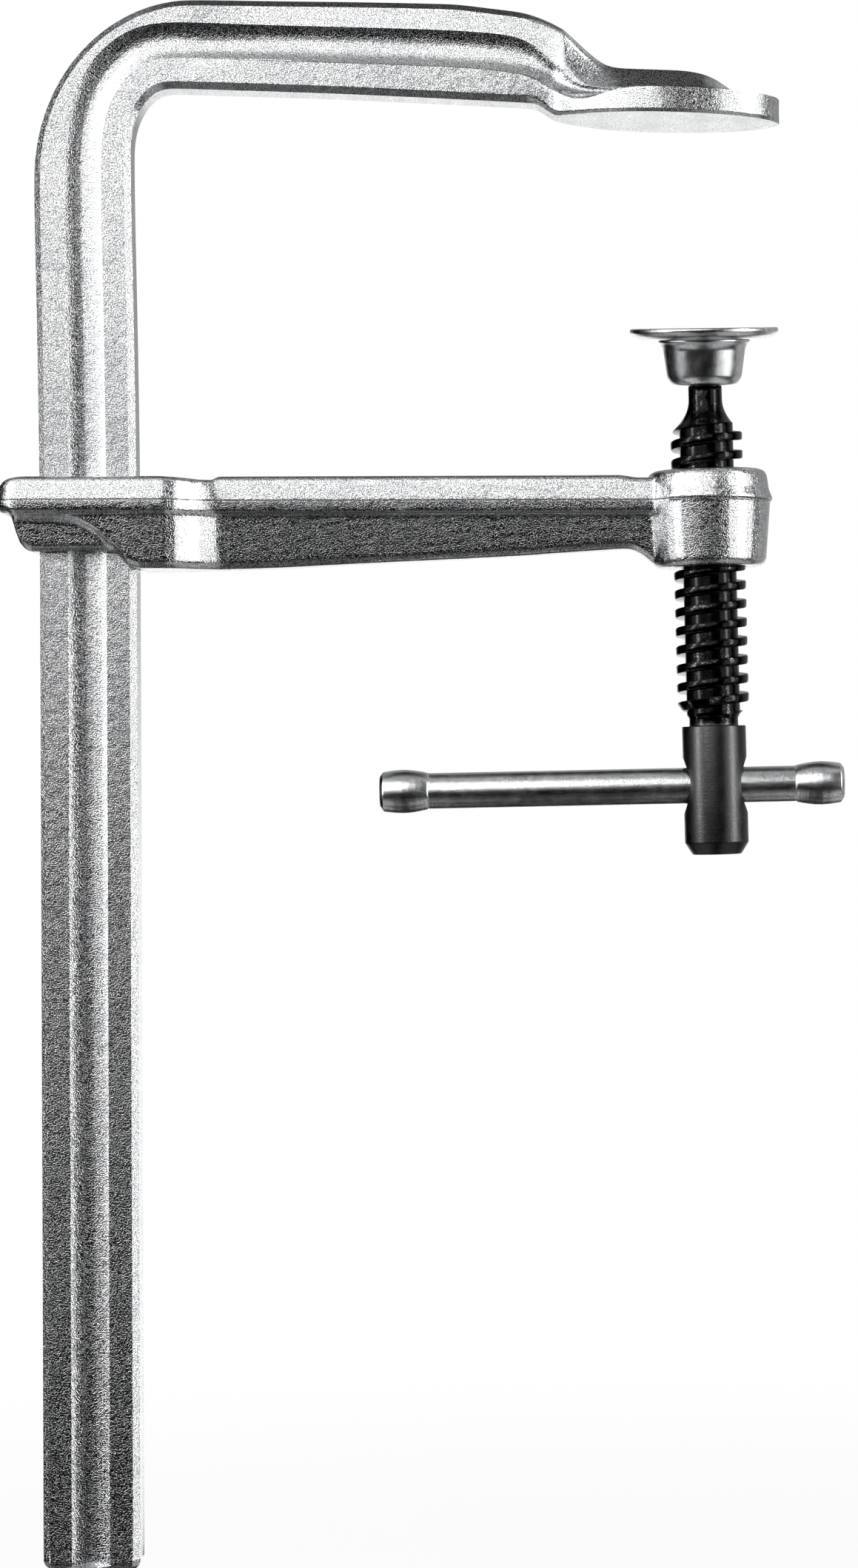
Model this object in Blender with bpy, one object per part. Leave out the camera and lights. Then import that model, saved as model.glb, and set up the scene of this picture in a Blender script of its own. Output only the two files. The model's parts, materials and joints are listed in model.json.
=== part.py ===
"""A steel screw clamp: a grooved rail bent into a fixed arm with an oval jaw, a forged arm that slides on the
rail, and a screw in that arm with a swivelling pressure plate on top and a sliding cross bar below.

The frame is in metres with +Z up. The rail is upright, the arms reach towards +X, and the origin is on the
fixed jaw's face, where the screw's axis meets it.
"""

import math

import bmesh
import bpy
from mathutils import Matrix

# Rail: a flat bar with a shallow groove along both wide faces
THROAT = 0.12036
RAIL_BELOW_JAW = 0.3094
RAIL_WIDTH = 0.0207
RAIL_THICKNESS = 0.0104
RAIL_CHAMFER = 0.0014
GROOVE_WIDTH = 0.0082
GROOVE_DEPTH = 0.0011
INNER_LAND = 0.0063
RAIL_END_CHAMFER = 0.0012
RAIL_END_CHAMFER_RISE = 0.0019
STAKE_HEIGHT = 0.0012
STAKE_PROUD = 0.0009
STAKE_RAMP = 0.0003
GROOVE_STEPS = 6

# The rail bows outwards below the bend: shares of the rail's length, and of the bow
RAIL_BOW = 0.0010
RAIL_BOW_SHARES = ((0.075, 0.86), (0.10, 0.70), (0.14, 0.47), (0.18, 0.30), (0.225, 0.13), (0.275, 0.0))

# Bend between the rail and the fixed arm: its outside and its inside are quarters of two ellipses
BEND_OUTER_RUN = 0.0340
BEND_OUTER_RISE = 0.0380
BEND_INNER_RUN = 0.0085
BEND_INNER_RISE = 0.0128
BEND_STEPS = 14
ARM_ROOT_HEIGHT = 0.0191

# Fixed arm and its oval jaw; the jaw's face leans with the arm
JAW_SLOPE = math.radians(1.4)
JAW_LENGTH = 0.0489
JAW_DEPTH = 0.0292
JAW_CENTRE = -0.00705
JAW_TIP = JAW_CENTRE + JAW_LENGTH / 2
JAW_FACE_CHAMFER = 0.0007
TIP_STEPS = 7
ARM_STEPS = 24

# Along the fixed arm, each place is a share of the jaw's length, counted back from the tip. Heights over the
# jaw's plane are shares of the rail's width.
SOLE_SHARES = (
    (0.955, 0.0),
    (0.985, 0.010),
    (1.02, 0.065),
    (1.055, 0.122),
    (1.075, 0.136),
    (1.20, 0.147),
    (1.32, 0.156),
    (1.62, 0.176),
    (1.92, 0.195),
    (2.58, 0.211),
)
CROWN_SHARES = (
    (0.165, 0.254),
    (0.215, 0.345),
    (0.295, 0.487),
    (0.36, 0.531),
    (0.71, 0.545),
    (0.77, 0.581),
    (0.84, 0.707),
    (0.905, 0.848),
    (1.00, 1.007),
    (1.11, 1.083),
    (1.245, 1.121),
    (1.47, 1.163),
    (1.80, 1.165),
    (2.58, 1.136),
)
GROOVE_TOP_SHARES = (
    (0.165, 0.253),
    (0.30, 0.315),
    (0.80, 0.310),
    (0.875, 0.325),
    (0.949, 0.465),
    (1.022, 0.625),
    (1.082, 0.745),
    (1.172, 0.830),
    (1.32, 0.862),
    (1.62, 0.885),
    (2.58, 0.889),
)
GROOVE_FOOT_SHARES = (
    (0.93, 0.2525),
    (0.964, 0.278),
    (1.022, 0.350),
    (1.082, 0.410),
    (1.172, 0.450),
    (1.32, 0.482),
    (1.62, 0.505),
    (1.92, 0.515),
    (2.58, 0.522),
)
LIP_SHARES = (
    (0.63, 0.251),
    (0.70, 0.232),
    (0.78, 0.184),
    (0.86, 0.155),
    (0.93, 0.174),
    (0.964, 0.225),
    (1.022, 0.328),
    (1.082, 0.392),
    (1.172, 0.434),
    (1.32, 0.467),
    (1.62, 0.490),
    (1.92, 0.500),
    (2.58, 0.507),
)
GROOVE_DEPTH_SHARES = ((0.84, 0.14), (0.90, 0.45), (0.99, 0.82), (1.08, 1.0))
SHOULDER_HALF_SHARES = ((0.80, 0.42), (0.86, 0.47), (0.93, 0.74), (0.99, 0.95), (1.03, 1.0))
FACE_CHAMFER_SHARES = ((0.93, 1.0), (1.09, 0.0))
TIP_ROW_SHARES = (0.85, 0.70, 0.60, 0.50)
ROOT_STEP_SHARES = (0.3, 0.65, 1.0)

# Sliding arm: a forging with a collar round the rail and a threaded boss
RAIL_CLEARANCE = 0.00035
COLLAR_BACK_WALL = 0.0081
COLLAR_SIDE_WALL = 0.0083
COLLAR_TOP = 0.0762
COLLAR_HEIGHT = 0.0195
COLLAR_FOOT = COLLAR_TOP + COLLAR_HEIGHT
ARM_PARTING_DROP = 0.0050
BAND_HEIGHT = 0.0074
ARM_HALF_DEPTH = 0.0081
ARM_WEB_INSET = 0.0019
ARM_WEB_LEAN = math.radians(7)
ARM_BAND_LEAN = math.radians(3)
COLLAR_RECESS = 0.0015
COLLAR_RIDGE_ROUND = 0.0012
ARM_ROUND = 0.0012
SLIDE_STEPS = 12
BOSS_RISE = 0.0015
BOSS_HEIGHT = 0.0208
BOSS_TOP = COLLAR_TOP - BOSS_RISE
BOSS_BOTTOM = BOSS_TOP + BOSS_HEIGHT
BOSS_RADIUS = 0.0134
BOSS_FOOT_RADIUS = 0.0122
BOSS_CROWN_RADIUS = 0.0128
BOSS_ROUND = 0.0014
BOSS_SIDES = 40

# Along the sliding arm, a place below 0 is a share of the collar's reach beyond the rail's inner face, and
# one above 0 is a share of the throat. Heights are shares of the collar's height, counted from its top.
SLIDE_TOP_SHARES = (
    (-1.0, 0.13),
    (-0.985, 0.085),
    (-0.955, 0.045),
    (-0.90, 0.016),
    (-0.80, 0.0),
    (0.03, 0.0),
    (0.10, 0.018),
    (0.112, 0.026),
    (0.136, 0.026),
    (0.146, -0.012),
    (0.86, -0.018),
    (0.888, 0.008),
    (0.95, 0.008),
)
SLIDE_FOOT_SHARES = (
    (-1.0, 0.385),
    (-0.92, 0.405),
    (-0.902, 0.43),
    (-0.875, 0.592),
    (-0.844, 0.718),
    (-0.80, 0.79),
    (-0.76, 0.81),
    (-0.18, 0.81),
    (-0.13, 0.84),
    (-0.05, 0.96),
    (0.010, 1.0),
    (0.141, 1.0),
    (0.415, 0.933),
    (0.69, 0.855),
    (0.872, 0.785),
    (0.900, 0.856),
    (0.914, 0.930),
    (0.925, 0.960),
    (0.95, 0.965),
)

# Depths are shares of what the collar has beyond the arm's own half depth, and the web's insets at its top
# are shares of the named inset.
COLLAR_BULK_SHARES = (
    (-1.0, 0.30),
    (-0.985, 0.55),
    (-0.94, 0.82),
    (-0.87, 1.0),
    (0.055, 1.0),
    (0.075, 0.86),
    (0.125, 0.15),
    (0.148, 0.0),
    (0.88, -0.28),
    (0.95, -0.28),
)
WEB_INSET_SHARES = (
    (-1.0, 0.5),
    (-0.90, 0.55),
    (-0.14, 0.40),
    (0.04, 0.25),
    (0.12, 0.25),
    (0.155, 0.60),
)

# Below a ridge that sweeps down across the collar, its rear block stands back from the web
RIDGE_SHARES = (
    (-0.76, 0.415),
    (-0.57, 0.42),
    (-0.41, 0.45),
    (-0.286, 0.545),
    (-0.20, 0.67),
    (-0.147, 0.785),
    (-0.113, 0.86),
    (-0.04, 1.0),
)
RECESS_SHARES = ((-1.0, 0.4), (-0.90, 1.0), (-0.20, 1.0), (-0.113, 0.5), (-0.04, 0.0))

# Screw, measured along its axis from the origin; the axis leans towards the rail at the top
SCREW_LEAN = math.radians(1.3)
THREAD_PITCH = 0.0040
THREAD_CORE_RADIUS = 0.00575
THREAD_CREST_RADIUS = 0.0077
THREAD_CREST_WIDTH = 0.0017
THREAD_BASE_WIDTH = 0.0022
THREAD_FADE = 0.0020
THREAD_SIDES = 20
THREAD_CLEARANCE = 0.0003
BALL_PLACE = 0.0511
BALL_RADIUS = 0.0049
BALL_STEPS = 9
NECK_TOP_RADIUS = 0.0029
NECK_RADIUS = 0.0036
NECK_DROP = 0.0056
NECK_LENGTH = 0.0027
FLARE_RADIUS = 0.0054
FLARE_LENGTH = 0.0048
FLARE_STEPS = 4
THREAD_LEAD = 0.0004
THREAD_LENGTH = 0.0624
THREAD_CREST_LEAD = 0.0027
RELIEF_RADIUS = 0.00525
RELIEF_LENGTH = 0.0025
HUB_RADIUS = 0.00684
HUB_LENGTH = 0.0275
HUB_CHAMFER = 0.0016
HUB_CHAMFER_RISE = 0.0025
BAR_DROP = 0.0127
COUNTERSINK_RADIUS = 0.0061
COUNTERSINK_DEPTH = 0.0016
NECK_PLACE = BALL_PLACE + NECK_DROP
FLARE_PLACE = NECK_PLACE + NECK_LENGTH
FLARE_END = FLARE_PLACE + FLARE_LENGTH
THREAD_TOP = FLARE_END + THREAD_LEAD
THREAD_CREST_PLACE = THREAD_TOP + THREAD_CREST_LEAD
THREAD_BOTTOM = THREAD_TOP + THREAD_LENGTH
HUB_TOP = THREAD_BOTTOM + RELIEF_LENGTH
HUB_BOTTOM = HUB_TOP + HUB_LENGTH
BAR_PLACE = HUB_TOP + BAR_DROP

# Cross bar with a cap pressed over each end; the right cap stands off the hub, and the bar sags in its hole
BAR_SAG = math.radians(0.32)
BAR_RADIUS = 0.00385
BAR_HOLE_CLEARANCE = 0.0003
BAR_LENGTH = 0.0996
CAP_LENGTH = 0.0104
CAP_STAND_OFF = 0.01036
BAR_LEFT_REACH = BAR_LENGTH - HUB_RADIUS - CAP_STAND_OFF - CAP_LENGTH
CAP_MOUTH_RADIUS = 0.0039
CAP_RADIUS = 0.0047
CAP_END_CHAMFER = 0.0013
SPIGOT_RADIUS = 0.0026
SPIGOT_LENGTH = 0.0072
CAP_CLEARANCE = 0.0003
CAP_SHARES = ((0.0, 0.0), (0.10, 0.33), (0.22, 0.62), (0.40, 0.93), (0.54, 1.0), (0.70, 0.86), (0.86, 0.5))
BAR_SIDES = 24

# Pressure plate on the ball: a face disc, a cup under it, and a split ring that keeps the ball in the cup
PLATE_FACE_RISE = 0.0070
PLATE_RADIUS = 0.0159
PLATE_THICKNESS = 0.0024
PLATE_EDGE = 0.0009
PLATE_ROUND = 0.0030
PLATE_SPIGOT_LENGTH = 0.0011
PLATE_CLEARANCE = 0.0003
PLATE_NOD = math.radians(6.4)
PLATE_LEAN = math.radians(0.7)
PLATE_SIDES = 40
CUP_FLANGE_RADIUS = 0.0098
CUP_FLANGE = 0.0005
CUP_TOP_RADIUS = 0.0088
CUP_FOOT_RADIUS = 0.0080
CUP_FOOT_DROP = 0.0034
CUP_BOTTOM_DROP = 0.0053
CUP_LIP_RADIUS = 0.0058
CUP_MOUTH_RADIUS = 0.0052
RING_THICKNESS = 0.0010
RING_LOW_ANGLE = math.radians(56)
RING_HIGH_ANGLE = math.radians(82)
RING_GAP_ANGLE = math.radians(24)
RING_STEPS = 4
RING_SIDES = 22

# Shared working values
CUTTER_OVERRUN = 0.005
WELD = 0.000002
SHARP_ANGLE = math.radians(32)


def clear_scene():
    for item in list(bpy.data.objects):
        bpy.data.objects.remove(item, do_unlink=True)


def material(name, color, metallic, roughness):
    made = bpy.data.materials.new(name)
    made.use_nodes = True
    shader = made.node_tree.nodes["Principled BSDF"]
    shader.inputs["Base Color"].default_value = (*color, 1)
    shader.inputs["Metallic"].default_value = metallic
    shader.inputs["Roughness"].default_value = roughness
    return made


def bright_zinc(name):
    return material(name, (0.74, 0.76, 0.76), 1, 0.28)


def satin_zinc(name):
    return material(name, (0.60, 0.62, 0.63), 1, 0.34)


def black_oxide(name):
    return material(name, (0.035, 0.035, 0.038), 1, 0.32)


def finish_mesh(bm, name):
    """Welds what meets, turns the faces outwards and shades the round parts smooth."""
    bmesh.ops.remove_doubles(bm, verts=bm.verts, dist=WELD)
    bmesh.ops.dissolve_degenerate(bm, edges=bm.edges, dist=WELD)
    bmesh.ops.recalc_face_normals(bm, faces=bm.faces)
    mesh = bpy.data.meshes.new(name)
    bm.to_mesh(mesh)
    bm.free()
    mesh.shade_smooth()
    mesh.set_sharp_from_angle(angle=SHARP_ANGLE)
    return mesh


def add_object(name, mesh, surface=None, parent=None):
    made = bpy.data.objects.new(name, mesh)
    bpy.context.scene.collection.objects.link(made)
    made.parent = parent
    if surface:
        mesh.materials.append(surface)
    return made


def add_frame(name, matrix, parent=None):
    """An empty that carries pieces; its matrix is in its parent's frame."""
    made = bpy.data.objects.new(name, None)
    bpy.context.scene.collection.objects.link(made)
    made.parent = parent
    made.matrix_local = matrix
    return made


def add_helper(name, mesh, parent=None):
    """A shape that only a Boolean uses."""
    made = add_object(name, mesh, None, parent)
    made.hide_render = True
    made.display_type = "WIRE"
    return made


def combine(target, tool, operation):
    change = target.modifiers.new(tool.name, "BOOLEAN")
    change.operation = operation
    change.solver = "EXACT"
    change.object = tool


def smooth_through(pairs, place):
    """The value at a place on a smooth curve through the pairs, which never overshoots them."""
    places = [pair[0] for pair in pairs]
    values = [pair[1] for pair in pairs]
    if place <= places[0]:
        return values[0]
    if place >= places[-1]:
        return values[-1]
    steps = [(v1 - v0) / (p1 - p0) for p0, p1, v0, v1 in zip(places, places[1:], values, values[1:])]
    slopes = [steps[0]]
    for before, after in zip(steps, steps[1:]):
        slopes.append(2 * before * after / (before + after) if before * after > 0 else 0)
    slopes.append(steps[-1])
    index = max(n for n in range(len(places) - 1) if places[n] <= place)
    span = places[index + 1] - places[index]
    part = (place - places[index]) / span
    rise = part * part * (3 - 2 * part)
    leave = part * (1 - part) * (1 - part)
    arrive = part * part * (part - 1)
    level = values[index] + (values[index + 1] - values[index]) * rise
    return level + span * (leave * slopes[index] + arrive * slopes[index + 1])


def bridge_rings(bm, rings):
    """A closed skin over rings of as many points each, with both ends capped."""
    made = [[bm.verts.new(point) for point in ring] for ring in rings]
    for first, second in zip(made, made[1:]):
        for n, corner in enumerate(first):
            after = (n + 1) % len(first)
            bm.faces.new((corner, first[after], second[after], second[n]))
    bm.faces.new(made[0])
    bm.faces.new(made[-1])


def mirrored_ring(half_outline, place):
    """A section's ring from its near half: pairs of a place and a depth, put in space by a function."""
    near = [place(across, depth) for across, depth in half_outline]
    far = [place(across, -depth) for across, depth in reversed(half_outline)]
    return near + far


def turned_mesh(name, profile, sides):
    """A closed turned shape about Z. Its profile, in radii and heights, starts and ends on the axis."""
    bm = bmesh.new()
    columns = []
    for side in range(sides):
        angle = math.tau * side / sides
        column = [bm.verts.new((r * math.cos(angle), r * math.sin(angle), z)) for r, z in profile]
        columns.append(column)
    for column, following in zip(columns, columns[1:] + columns[:1]):
        for n in range(len(profile) - 1):
            bm.faces.new((column[n], following[n], following[n + 1], column[n + 1]))
    return finish_mesh(bm, name)


def arc_points(centre, radius, start, end, steps):
    """Points on an arc in the profile's plane, with angles counted from the downward axis."""
    for n in range(steps + 1):
        angle = start + (end - start) * n / steps
        yield radius * math.sin(angle), centre - radius * math.cos(angle)


def bar_outline(width, groove, groove_depth, inset=0):
    """Half of the rail's section, from its inner face out, with the groove between two places."""
    half = RAIL_THICKNESS / 2 - inset
    points = [(inset, half - RAIL_CHAMFER), (inset + RAIL_CHAMFER, half)]
    points.append((groove[0] * LIP_SHARES[-1][1] / GROOVE_FOOT_SHARES[-1][1], half))
    points += groove_outline((groove[0], half), (groove[1], half), groove_depth)
    points += [(width - inset - RAIL_CHAMFER, half), (width - inset, half - RAIL_CHAMFER)]
    return points


def groove_outline(start, end, depth):
    """Points over the groove, from its inner edge to its outer one; a negative depth stands proud."""
    points = []
    for n in range(GROOVE_STEPS + 1):
        part = n / GROOVE_STEPS
        bow = 1 - (2 * part - 1) ** 2
        across = start[0] + (end[0] - start[0]) * part
        half = start[1] + (end[1] - start[1]) * part
        points.append((across, half - depth * bow))
    return points


def rail_rings():
    """The upright bar, from its chamfered and staked lower end to the bend."""
    stake_top = -RAIL_BELOW_JAW + STAKE_HEIGHT
    stake_inset = RAIL_END_CHAMFER * STAKE_HEIGHT / RAIL_END_CHAMFER_RISE
    rows = [
        (-RAIL_BELOW_JAW, -STAKE_PROUD, RAIL_END_CHAMFER),
        (stake_top - STAKE_RAMP, -STAKE_PROUD, stake_inset / 2),
        (stake_top, GROOVE_DEPTH, stake_inset / 3),
        (-RAIL_BELOW_JAW + RAIL_END_CHAMFER_RISE, GROOVE_DEPTH, 0),
    ]
    rows += [(-RAIL_BELOW_JAW * place, GROOVE_DEPTH, 0) for place, part in reversed(RAIL_BOW_SHARES)]
    for height, groove_depth, inset in rows:
        outline = bar_outline(RAIL_WIDTH, (INNER_LAND, INNER_LAND + GROOVE_WIDTH), groove_depth, inset)
        inner_x = -THROAT - RAIL_BOW * smooth_through(RAIL_BOW_SHARES, -height / RAIL_BELOW_JAW)
        yield mirrored_ring(outline, lambda across, depth, x=inner_x, z=height: (x - across, -depth, z))


def jaw_plane(x):
    return -x * math.tan(JAW_SLOPE)


def arm_height(shares, x):
    """A height over the jaw's plane, from one of the fixed arm's tables."""
    return jaw_plane(x) + RAIL_WIDTH * smooth_through(shares, (JAW_TIP - x) / JAW_LENGTH)


def arm_root():
    """Where the bend ends: its place along the arm, and the height of its outside."""
    x = -THROAT - RAIL_BOW - RAIL_WIDTH + BEND_OUTER_RUN
    return x, arm_height(SOLE_SHARES, x) + ARM_ROOT_HEIGHT


def bend_inner_point(part):
    """A point on the bend's inside: straight, then a quarter of an ellipse, then on to the arm."""
    root_x, root_crown = arm_root()
    face_x = -THROAT - RAIL_BOW
    turn_x = face_x + BEND_INNER_RUN
    turn_z = arm_height(SOLE_SHARES, turn_x)
    foot_z = root_crown - BEND_OUTER_RISE
    lead = turn_z - BEND_INNER_RISE - foot_z
    arc = math.pi / 2 * math.hypot(BEND_INNER_RUN, BEND_INNER_RISE) / math.sqrt(2)
    way = part * (lead + arc + root_x - turn_x)
    if way < lead:
        return face_x, foot_z + way
    if way > lead + arc:
        x = turn_x + way - lead - arc
        return x, arm_height(SOLE_SHARES, x)
    angle = math.pi / 2 * (way - lead) / arc
    return turn_x - BEND_INNER_RUN * math.cos(angle), turn_z + BEND_INNER_RISE * (math.sin(angle) - 1)


def bend_rings():
    """The bend, over which the groove passes from its place on the rail to its place on the arm."""
    root_x, root_crown = arm_root()
    arm_land = RAIL_WIDTH * (GROOVE_FOOT_SHARES[-1][1] - SOLE_SHARES[-1][1])
    arm_groove_end = RAIL_WIDTH * (GROOVE_TOP_SHARES[-1][1] - SOLE_SHARES[-1][1])
    for n in range(BEND_STEPS + 1):
        part = n / BEND_STEPS
        angle = math.pi / 2 * part
        inner = bend_inner_point(part)
        outer = (
            root_x - BEND_OUTER_RUN * math.cos(angle),
            root_crown + BEND_OUTER_RISE * (math.sin(angle) - 1),
        )
        width = math.dist(inner, outer)
        along = ((outer[0] - inner[0]) / width, (outer[1] - inner[1]) / width)
        groove = (
            INNER_LAND + (arm_land - INNER_LAND) * part,
            INNER_LAND + GROOVE_WIDTH + (arm_groove_end - INNER_LAND - GROOVE_WIDTH) * part,
        )
        yield mirrored_ring(
            bar_outline(width, groove, GROOVE_DEPTH),
            lambda across, depth, foot=inner, way=along: (
                foot[0] + way[0] * across,
                -depth,
                foot[1] + way[1] * across,
            ),
        )


def jaw_half_depth(x):
    """Half the oval jaw's depth at a place along the arm."""
    centre = JAW_TIP - JAW_LENGTH / 2
    off = (x - centre) / (JAW_LENGTH / 2)
    return JAW_DEPTH / 2 * math.sqrt(max(0, 1 - off * off))


def arm_outline(x):
    """Half of the fixed arm's section at x, from its sole to its crown, as heights and half depths."""
    share = (JAW_TIP - x) / JAW_LENGTH
    bar_half = RAIL_THICKNESS / 2
    oval_half = jaw_half_depth(x)
    flat_half = max(oval_half, bar_half) if share > 0.5 else oval_half
    rows = [part * flat_half for part in TIP_ROW_SHARES]
    on_jaw = smooth_through(FACE_CHAMFER_SHARES, share)
    sole = arm_height(SOLE_SHARES, x)
    crown = arm_height(CROWN_SHARES, x)
    chamfer = RAIL_CHAMFER + (JAW_FACE_CHAMFER - RAIL_CHAMFER) * on_jaw
    foot_half = min(rows[0], bar_half)
    top_half = min(rows[1], bar_half)
    shoulder_half = min(rows[2], bar_half * smooth_through(SHOULDER_HALF_SHARES, share))
    crown_round = min(RAIL_CHAMFER, (crown - arm_height(GROOVE_TOP_SHARES, x)) / 2)
    groove_depth = min(
        GROOVE_DEPTH * smooth_through(GROOVE_DEPTH_SHARES, share),
        top_half / 2,
    )
    points = [(sole, flat_half - chamfer), (sole + chamfer, flat_half)]
    points.append((arm_height(LIP_SHARES, x), flat_half))
    points += groove_outline(
        (arm_height(GROOVE_FOOT_SHARES, x), foot_half),
        (arm_height(GROOVE_TOP_SHARES, x), top_half),
        groove_depth,
    )
    points.append((crown - crown_round, shoulder_half))
    points.append((crown, min(rows[3], shoulder_half - RAIL_CHAMFER)))
    return points


def arm_rings():
    """The fixed arm beyond the bend, down its step and out to the jaw's rounded tip."""
    root = arm_root()[0]
    oval_centre = JAW_TIP - JAW_LENGTH / 2
    step_start = JAW_TIP - JAW_LENGTH * CROWN_SHARES[-3][0]
    places = [root + (step_start - root) * part for part in ROOT_STEP_SHARES]
    places += [step_start + (oval_centre - step_start) * n / ARM_STEPS for n in range(1, ARM_STEPS + 1)]
    for n in range(1, TIP_STEPS + 1):
        angle = math.pi / 2 * (1 - n / (TIP_STEPS + 1 / TIP_STEPS))
        places.append(oval_centre + JAW_LENGTH / 2 * math.cos(angle))
    for x in places:
        yield mirrored_ring(arm_outline(x), lambda across, depth, at=x: (at, -depth, across))


def build_rail():
    bm = bmesh.new()
    bridge_rings(bm, [*rail_rings(), *bend_rings(), *arm_rings()])
    add_object("rail", finish_mesh(bm, "rail"), bright_zinc("rail_zinc"))


def slide_x(place):
    """The place along the sliding arm as X."""
    reach = RAIL_WIDTH + COLLAR_BACK_WALL if place < 0 else THROAT
    return -THROAT + reach * place


def slide_outline(place):
    """Half of the sliding arm's section, from its foot to its top, as heights and half depths."""
    height = COLLAR_FOOT - COLLAR_TOP
    top = -COLLAR_TOP - height * smooth_through(SLIDE_TOP_SHARES, place)
    foot = -COLLAR_TOP - height * smooth_through(SLIDE_FOOT_SHARES, place)
    bulk = RAIL_THICKNESS / 2 + COLLAR_SIDE_WALL - ARM_HALF_DEPTH
    half = ARM_HALF_DEPTH + bulk * smooth_through(COLLAR_BULK_SHARES, place)
    draft = ARM_ROUND / 3
    web = half - draft - ARM_WEB_INSET * smooth_through(WEB_INSET_SHARES, place)
    parting = max(-COLLAR_TOP - ARM_PARTING_DROP, (top + foot) / 2)
    band_foot = max(-COLLAR_TOP - BAND_HEIGHT, foot + ARM_ROUND)
    web_top = max(band_foot - draft, foot + 2 * draft)
    web_round = min(ARM_ROUND, (web_top - foot) / 3)
    lowest = foot + web_round
    ridge = -COLLAR_TOP - height * smooth_through(RIDGE_SHARES, place)
    ridge = min(web_top - web_round / 4, max(lowest + web_round / 2, ridge))
    ridge_foot = max(lowest + web_round / 4, ridge - COLLAR_RIDGE_ROUND)
    recess = COLLAR_RECESS * smooth_through(RECESS_SHARES, place)
    lean = math.tan(ARM_WEB_LEAN)
    web_foot = web - (web_top - lowest) * lean - recess
    return [
        (foot, web_foot - web_round),
        (lowest, web_foot),
        (ridge_foot, web - (web_top - ridge_foot) * lean - recess),
        (ridge, web - (web_top - ridge) * lean),
        (web_top, web),
        (band_foot, half - (parting - band_foot) * math.tan(ARM_BAND_LEAN)),
        (parting, half),
        (top - ARM_ROUND, half - draft),
        (top - draft, half - 2 * draft),
        (top, half - draft - ARM_ROUND),
    ]


def slide_places():
    """Places along the sliding arm: every turn of its outlines, and steps between them."""
    tables = (SLIDE_TOP_SHARES, SLIDE_FOOT_SHARES, COLLAR_BULK_SHARES)
    tables += (WEB_INSET_SHARES, RIDGE_SHARES, RECESS_SHARES)
    marks = sorted({pair[0] for table in tables for pair in table})
    kept = [marks[0]]
    for mark in marks[1:]:
        span = abs(slide_x(mark) - slide_x(kept[-1]))
        if span > ARM_ROUND / 4:
            kept.append(mark)
    steps = [n / SLIDE_STEPS for n in range(1, SLIDE_STEPS)]
    apart = 1 / SLIDE_STEPS / 2
    kept += [step for step in steps if min(abs(step - mark) for mark in marks) > apart]
    return sorted(kept)


def slot_mesh():
    """The rail's own outline, grown by its clearance, as tall as the collar and a little more."""
    half = RAIL_THICKNESS / 2 + RAIL_CLEARANCE
    chamfer = RAIL_CHAMFER
    width = RAIL_WIDTH + RAIL_CLEARANCE
    outline = [
        (-RAIL_CLEARANCE, half - chamfer),
        (chamfer - RAIL_CLEARANCE, half),
        (width - chamfer, half),
        (width, half - chamfer),
    ]
    bm = bmesh.new()
    rings = []
    for height in (-COLLAR_FOOT - CUTTER_OVERRUN, -COLLAR_TOP + CUTTER_OVERRUN):
        ring = mirrored_ring(outline, lambda across, depth, z=height: (-THROAT - across, -depth, z))
        rings.append(ring)
    bridge_rings(bm, rings)
    return finish_mesh(bm, "rail_slot")


def boss_mesh():
    """The boss, turned about the screw's axis with a draft both ways from its parting line."""
    parting = -COLLAR_TOP - ARM_PARTING_DROP
    crown = -BOSS_TOP
    foot = -BOSS_BOTTOM
    softer = BOSS_ROUND / 3
    profile = [
        (0, crown),
        (BOSS_CROWN_RADIUS - BOSS_ROUND, crown),
        (BOSS_CROWN_RADIUS - softer, crown - softer),
        (BOSS_CROWN_RADIUS, crown - BOSS_ROUND),
        (BOSS_RADIUS, parting),
        (BOSS_FOOT_RADIUS, foot + BOSS_ROUND),
        (BOSS_FOOT_RADIUS - softer, foot + softer),
        (BOSS_FOOT_RADIUS - BOSS_ROUND, foot),
        (0, foot),
    ]
    return turned_mesh("boss", profile, BOSS_SIDES)


def build_sliding_arm(screw):
    bm = bmesh.new()
    rings = []
    for place in slide_places():
        x = slide_x(place)
        ring = mirrored_ring(slide_outline(place), lambda across, depth, at=x: (at, -depth, across))
        rings.append(ring)
    bridge_rings(bm, rings)
    arm = add_object("sliding_arm", finish_mesh(bm, "sliding_arm"), bright_zinc("arm_zinc"))
    combine(arm, add_helper("boss_blank", boss_mesh(), screw), "UNION")
    combine(arm, add_helper("rail_slot_cutter", slot_mesh()), "DIFFERENCE")
    combine(arm, add_helper("nut_thread_cutter", nut_mesh(), screw), "DIFFERENCE")


def add_thread(bm, top, bottom, core, crest, crest_width, base_width, fade):
    """A right-hand thread between two heights, which ends in a ring of the core's radius at both."""
    offsets = (
        (-base_width / 2, 0),
        (-crest_width / 2, 1),
        (crest_width / 2, 1),
        (base_width / 2, 0),
    )
    first = math.floor((bottom + THREAD_CREST_PLACE) / THREAD_PITCH) - 2
    last = math.ceil((top + THREAD_CREST_PLACE) / THREAD_PITCH) + 2
    columns = []
    for side in range(THREAD_SIDES + 1):
        turn = side / THREAD_SIDES
        angle = math.tau * turn
        column = []
        for coil in range(first, last):
            for offset, rise in offsets:
                height = -THREAD_CREST_PLACE + THREAD_PITCH * (coil + turn) + offset
                height = min(max(height, bottom), top)
                grown = min(1, (height - bottom) / fade, (top - height) / fade)
                radius = core + (crest - core) * rise * grown
                column.append(bm.verts.new((radius * math.cos(angle), radius * math.sin(angle), height)))
        columns.append(column)
    for column, following in zip(columns, columns[1:]):
        for n in range(len(column) - 1):
            bm.faces.new((column[n], following[n], following[n + 1], column[n + 1]))


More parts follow.
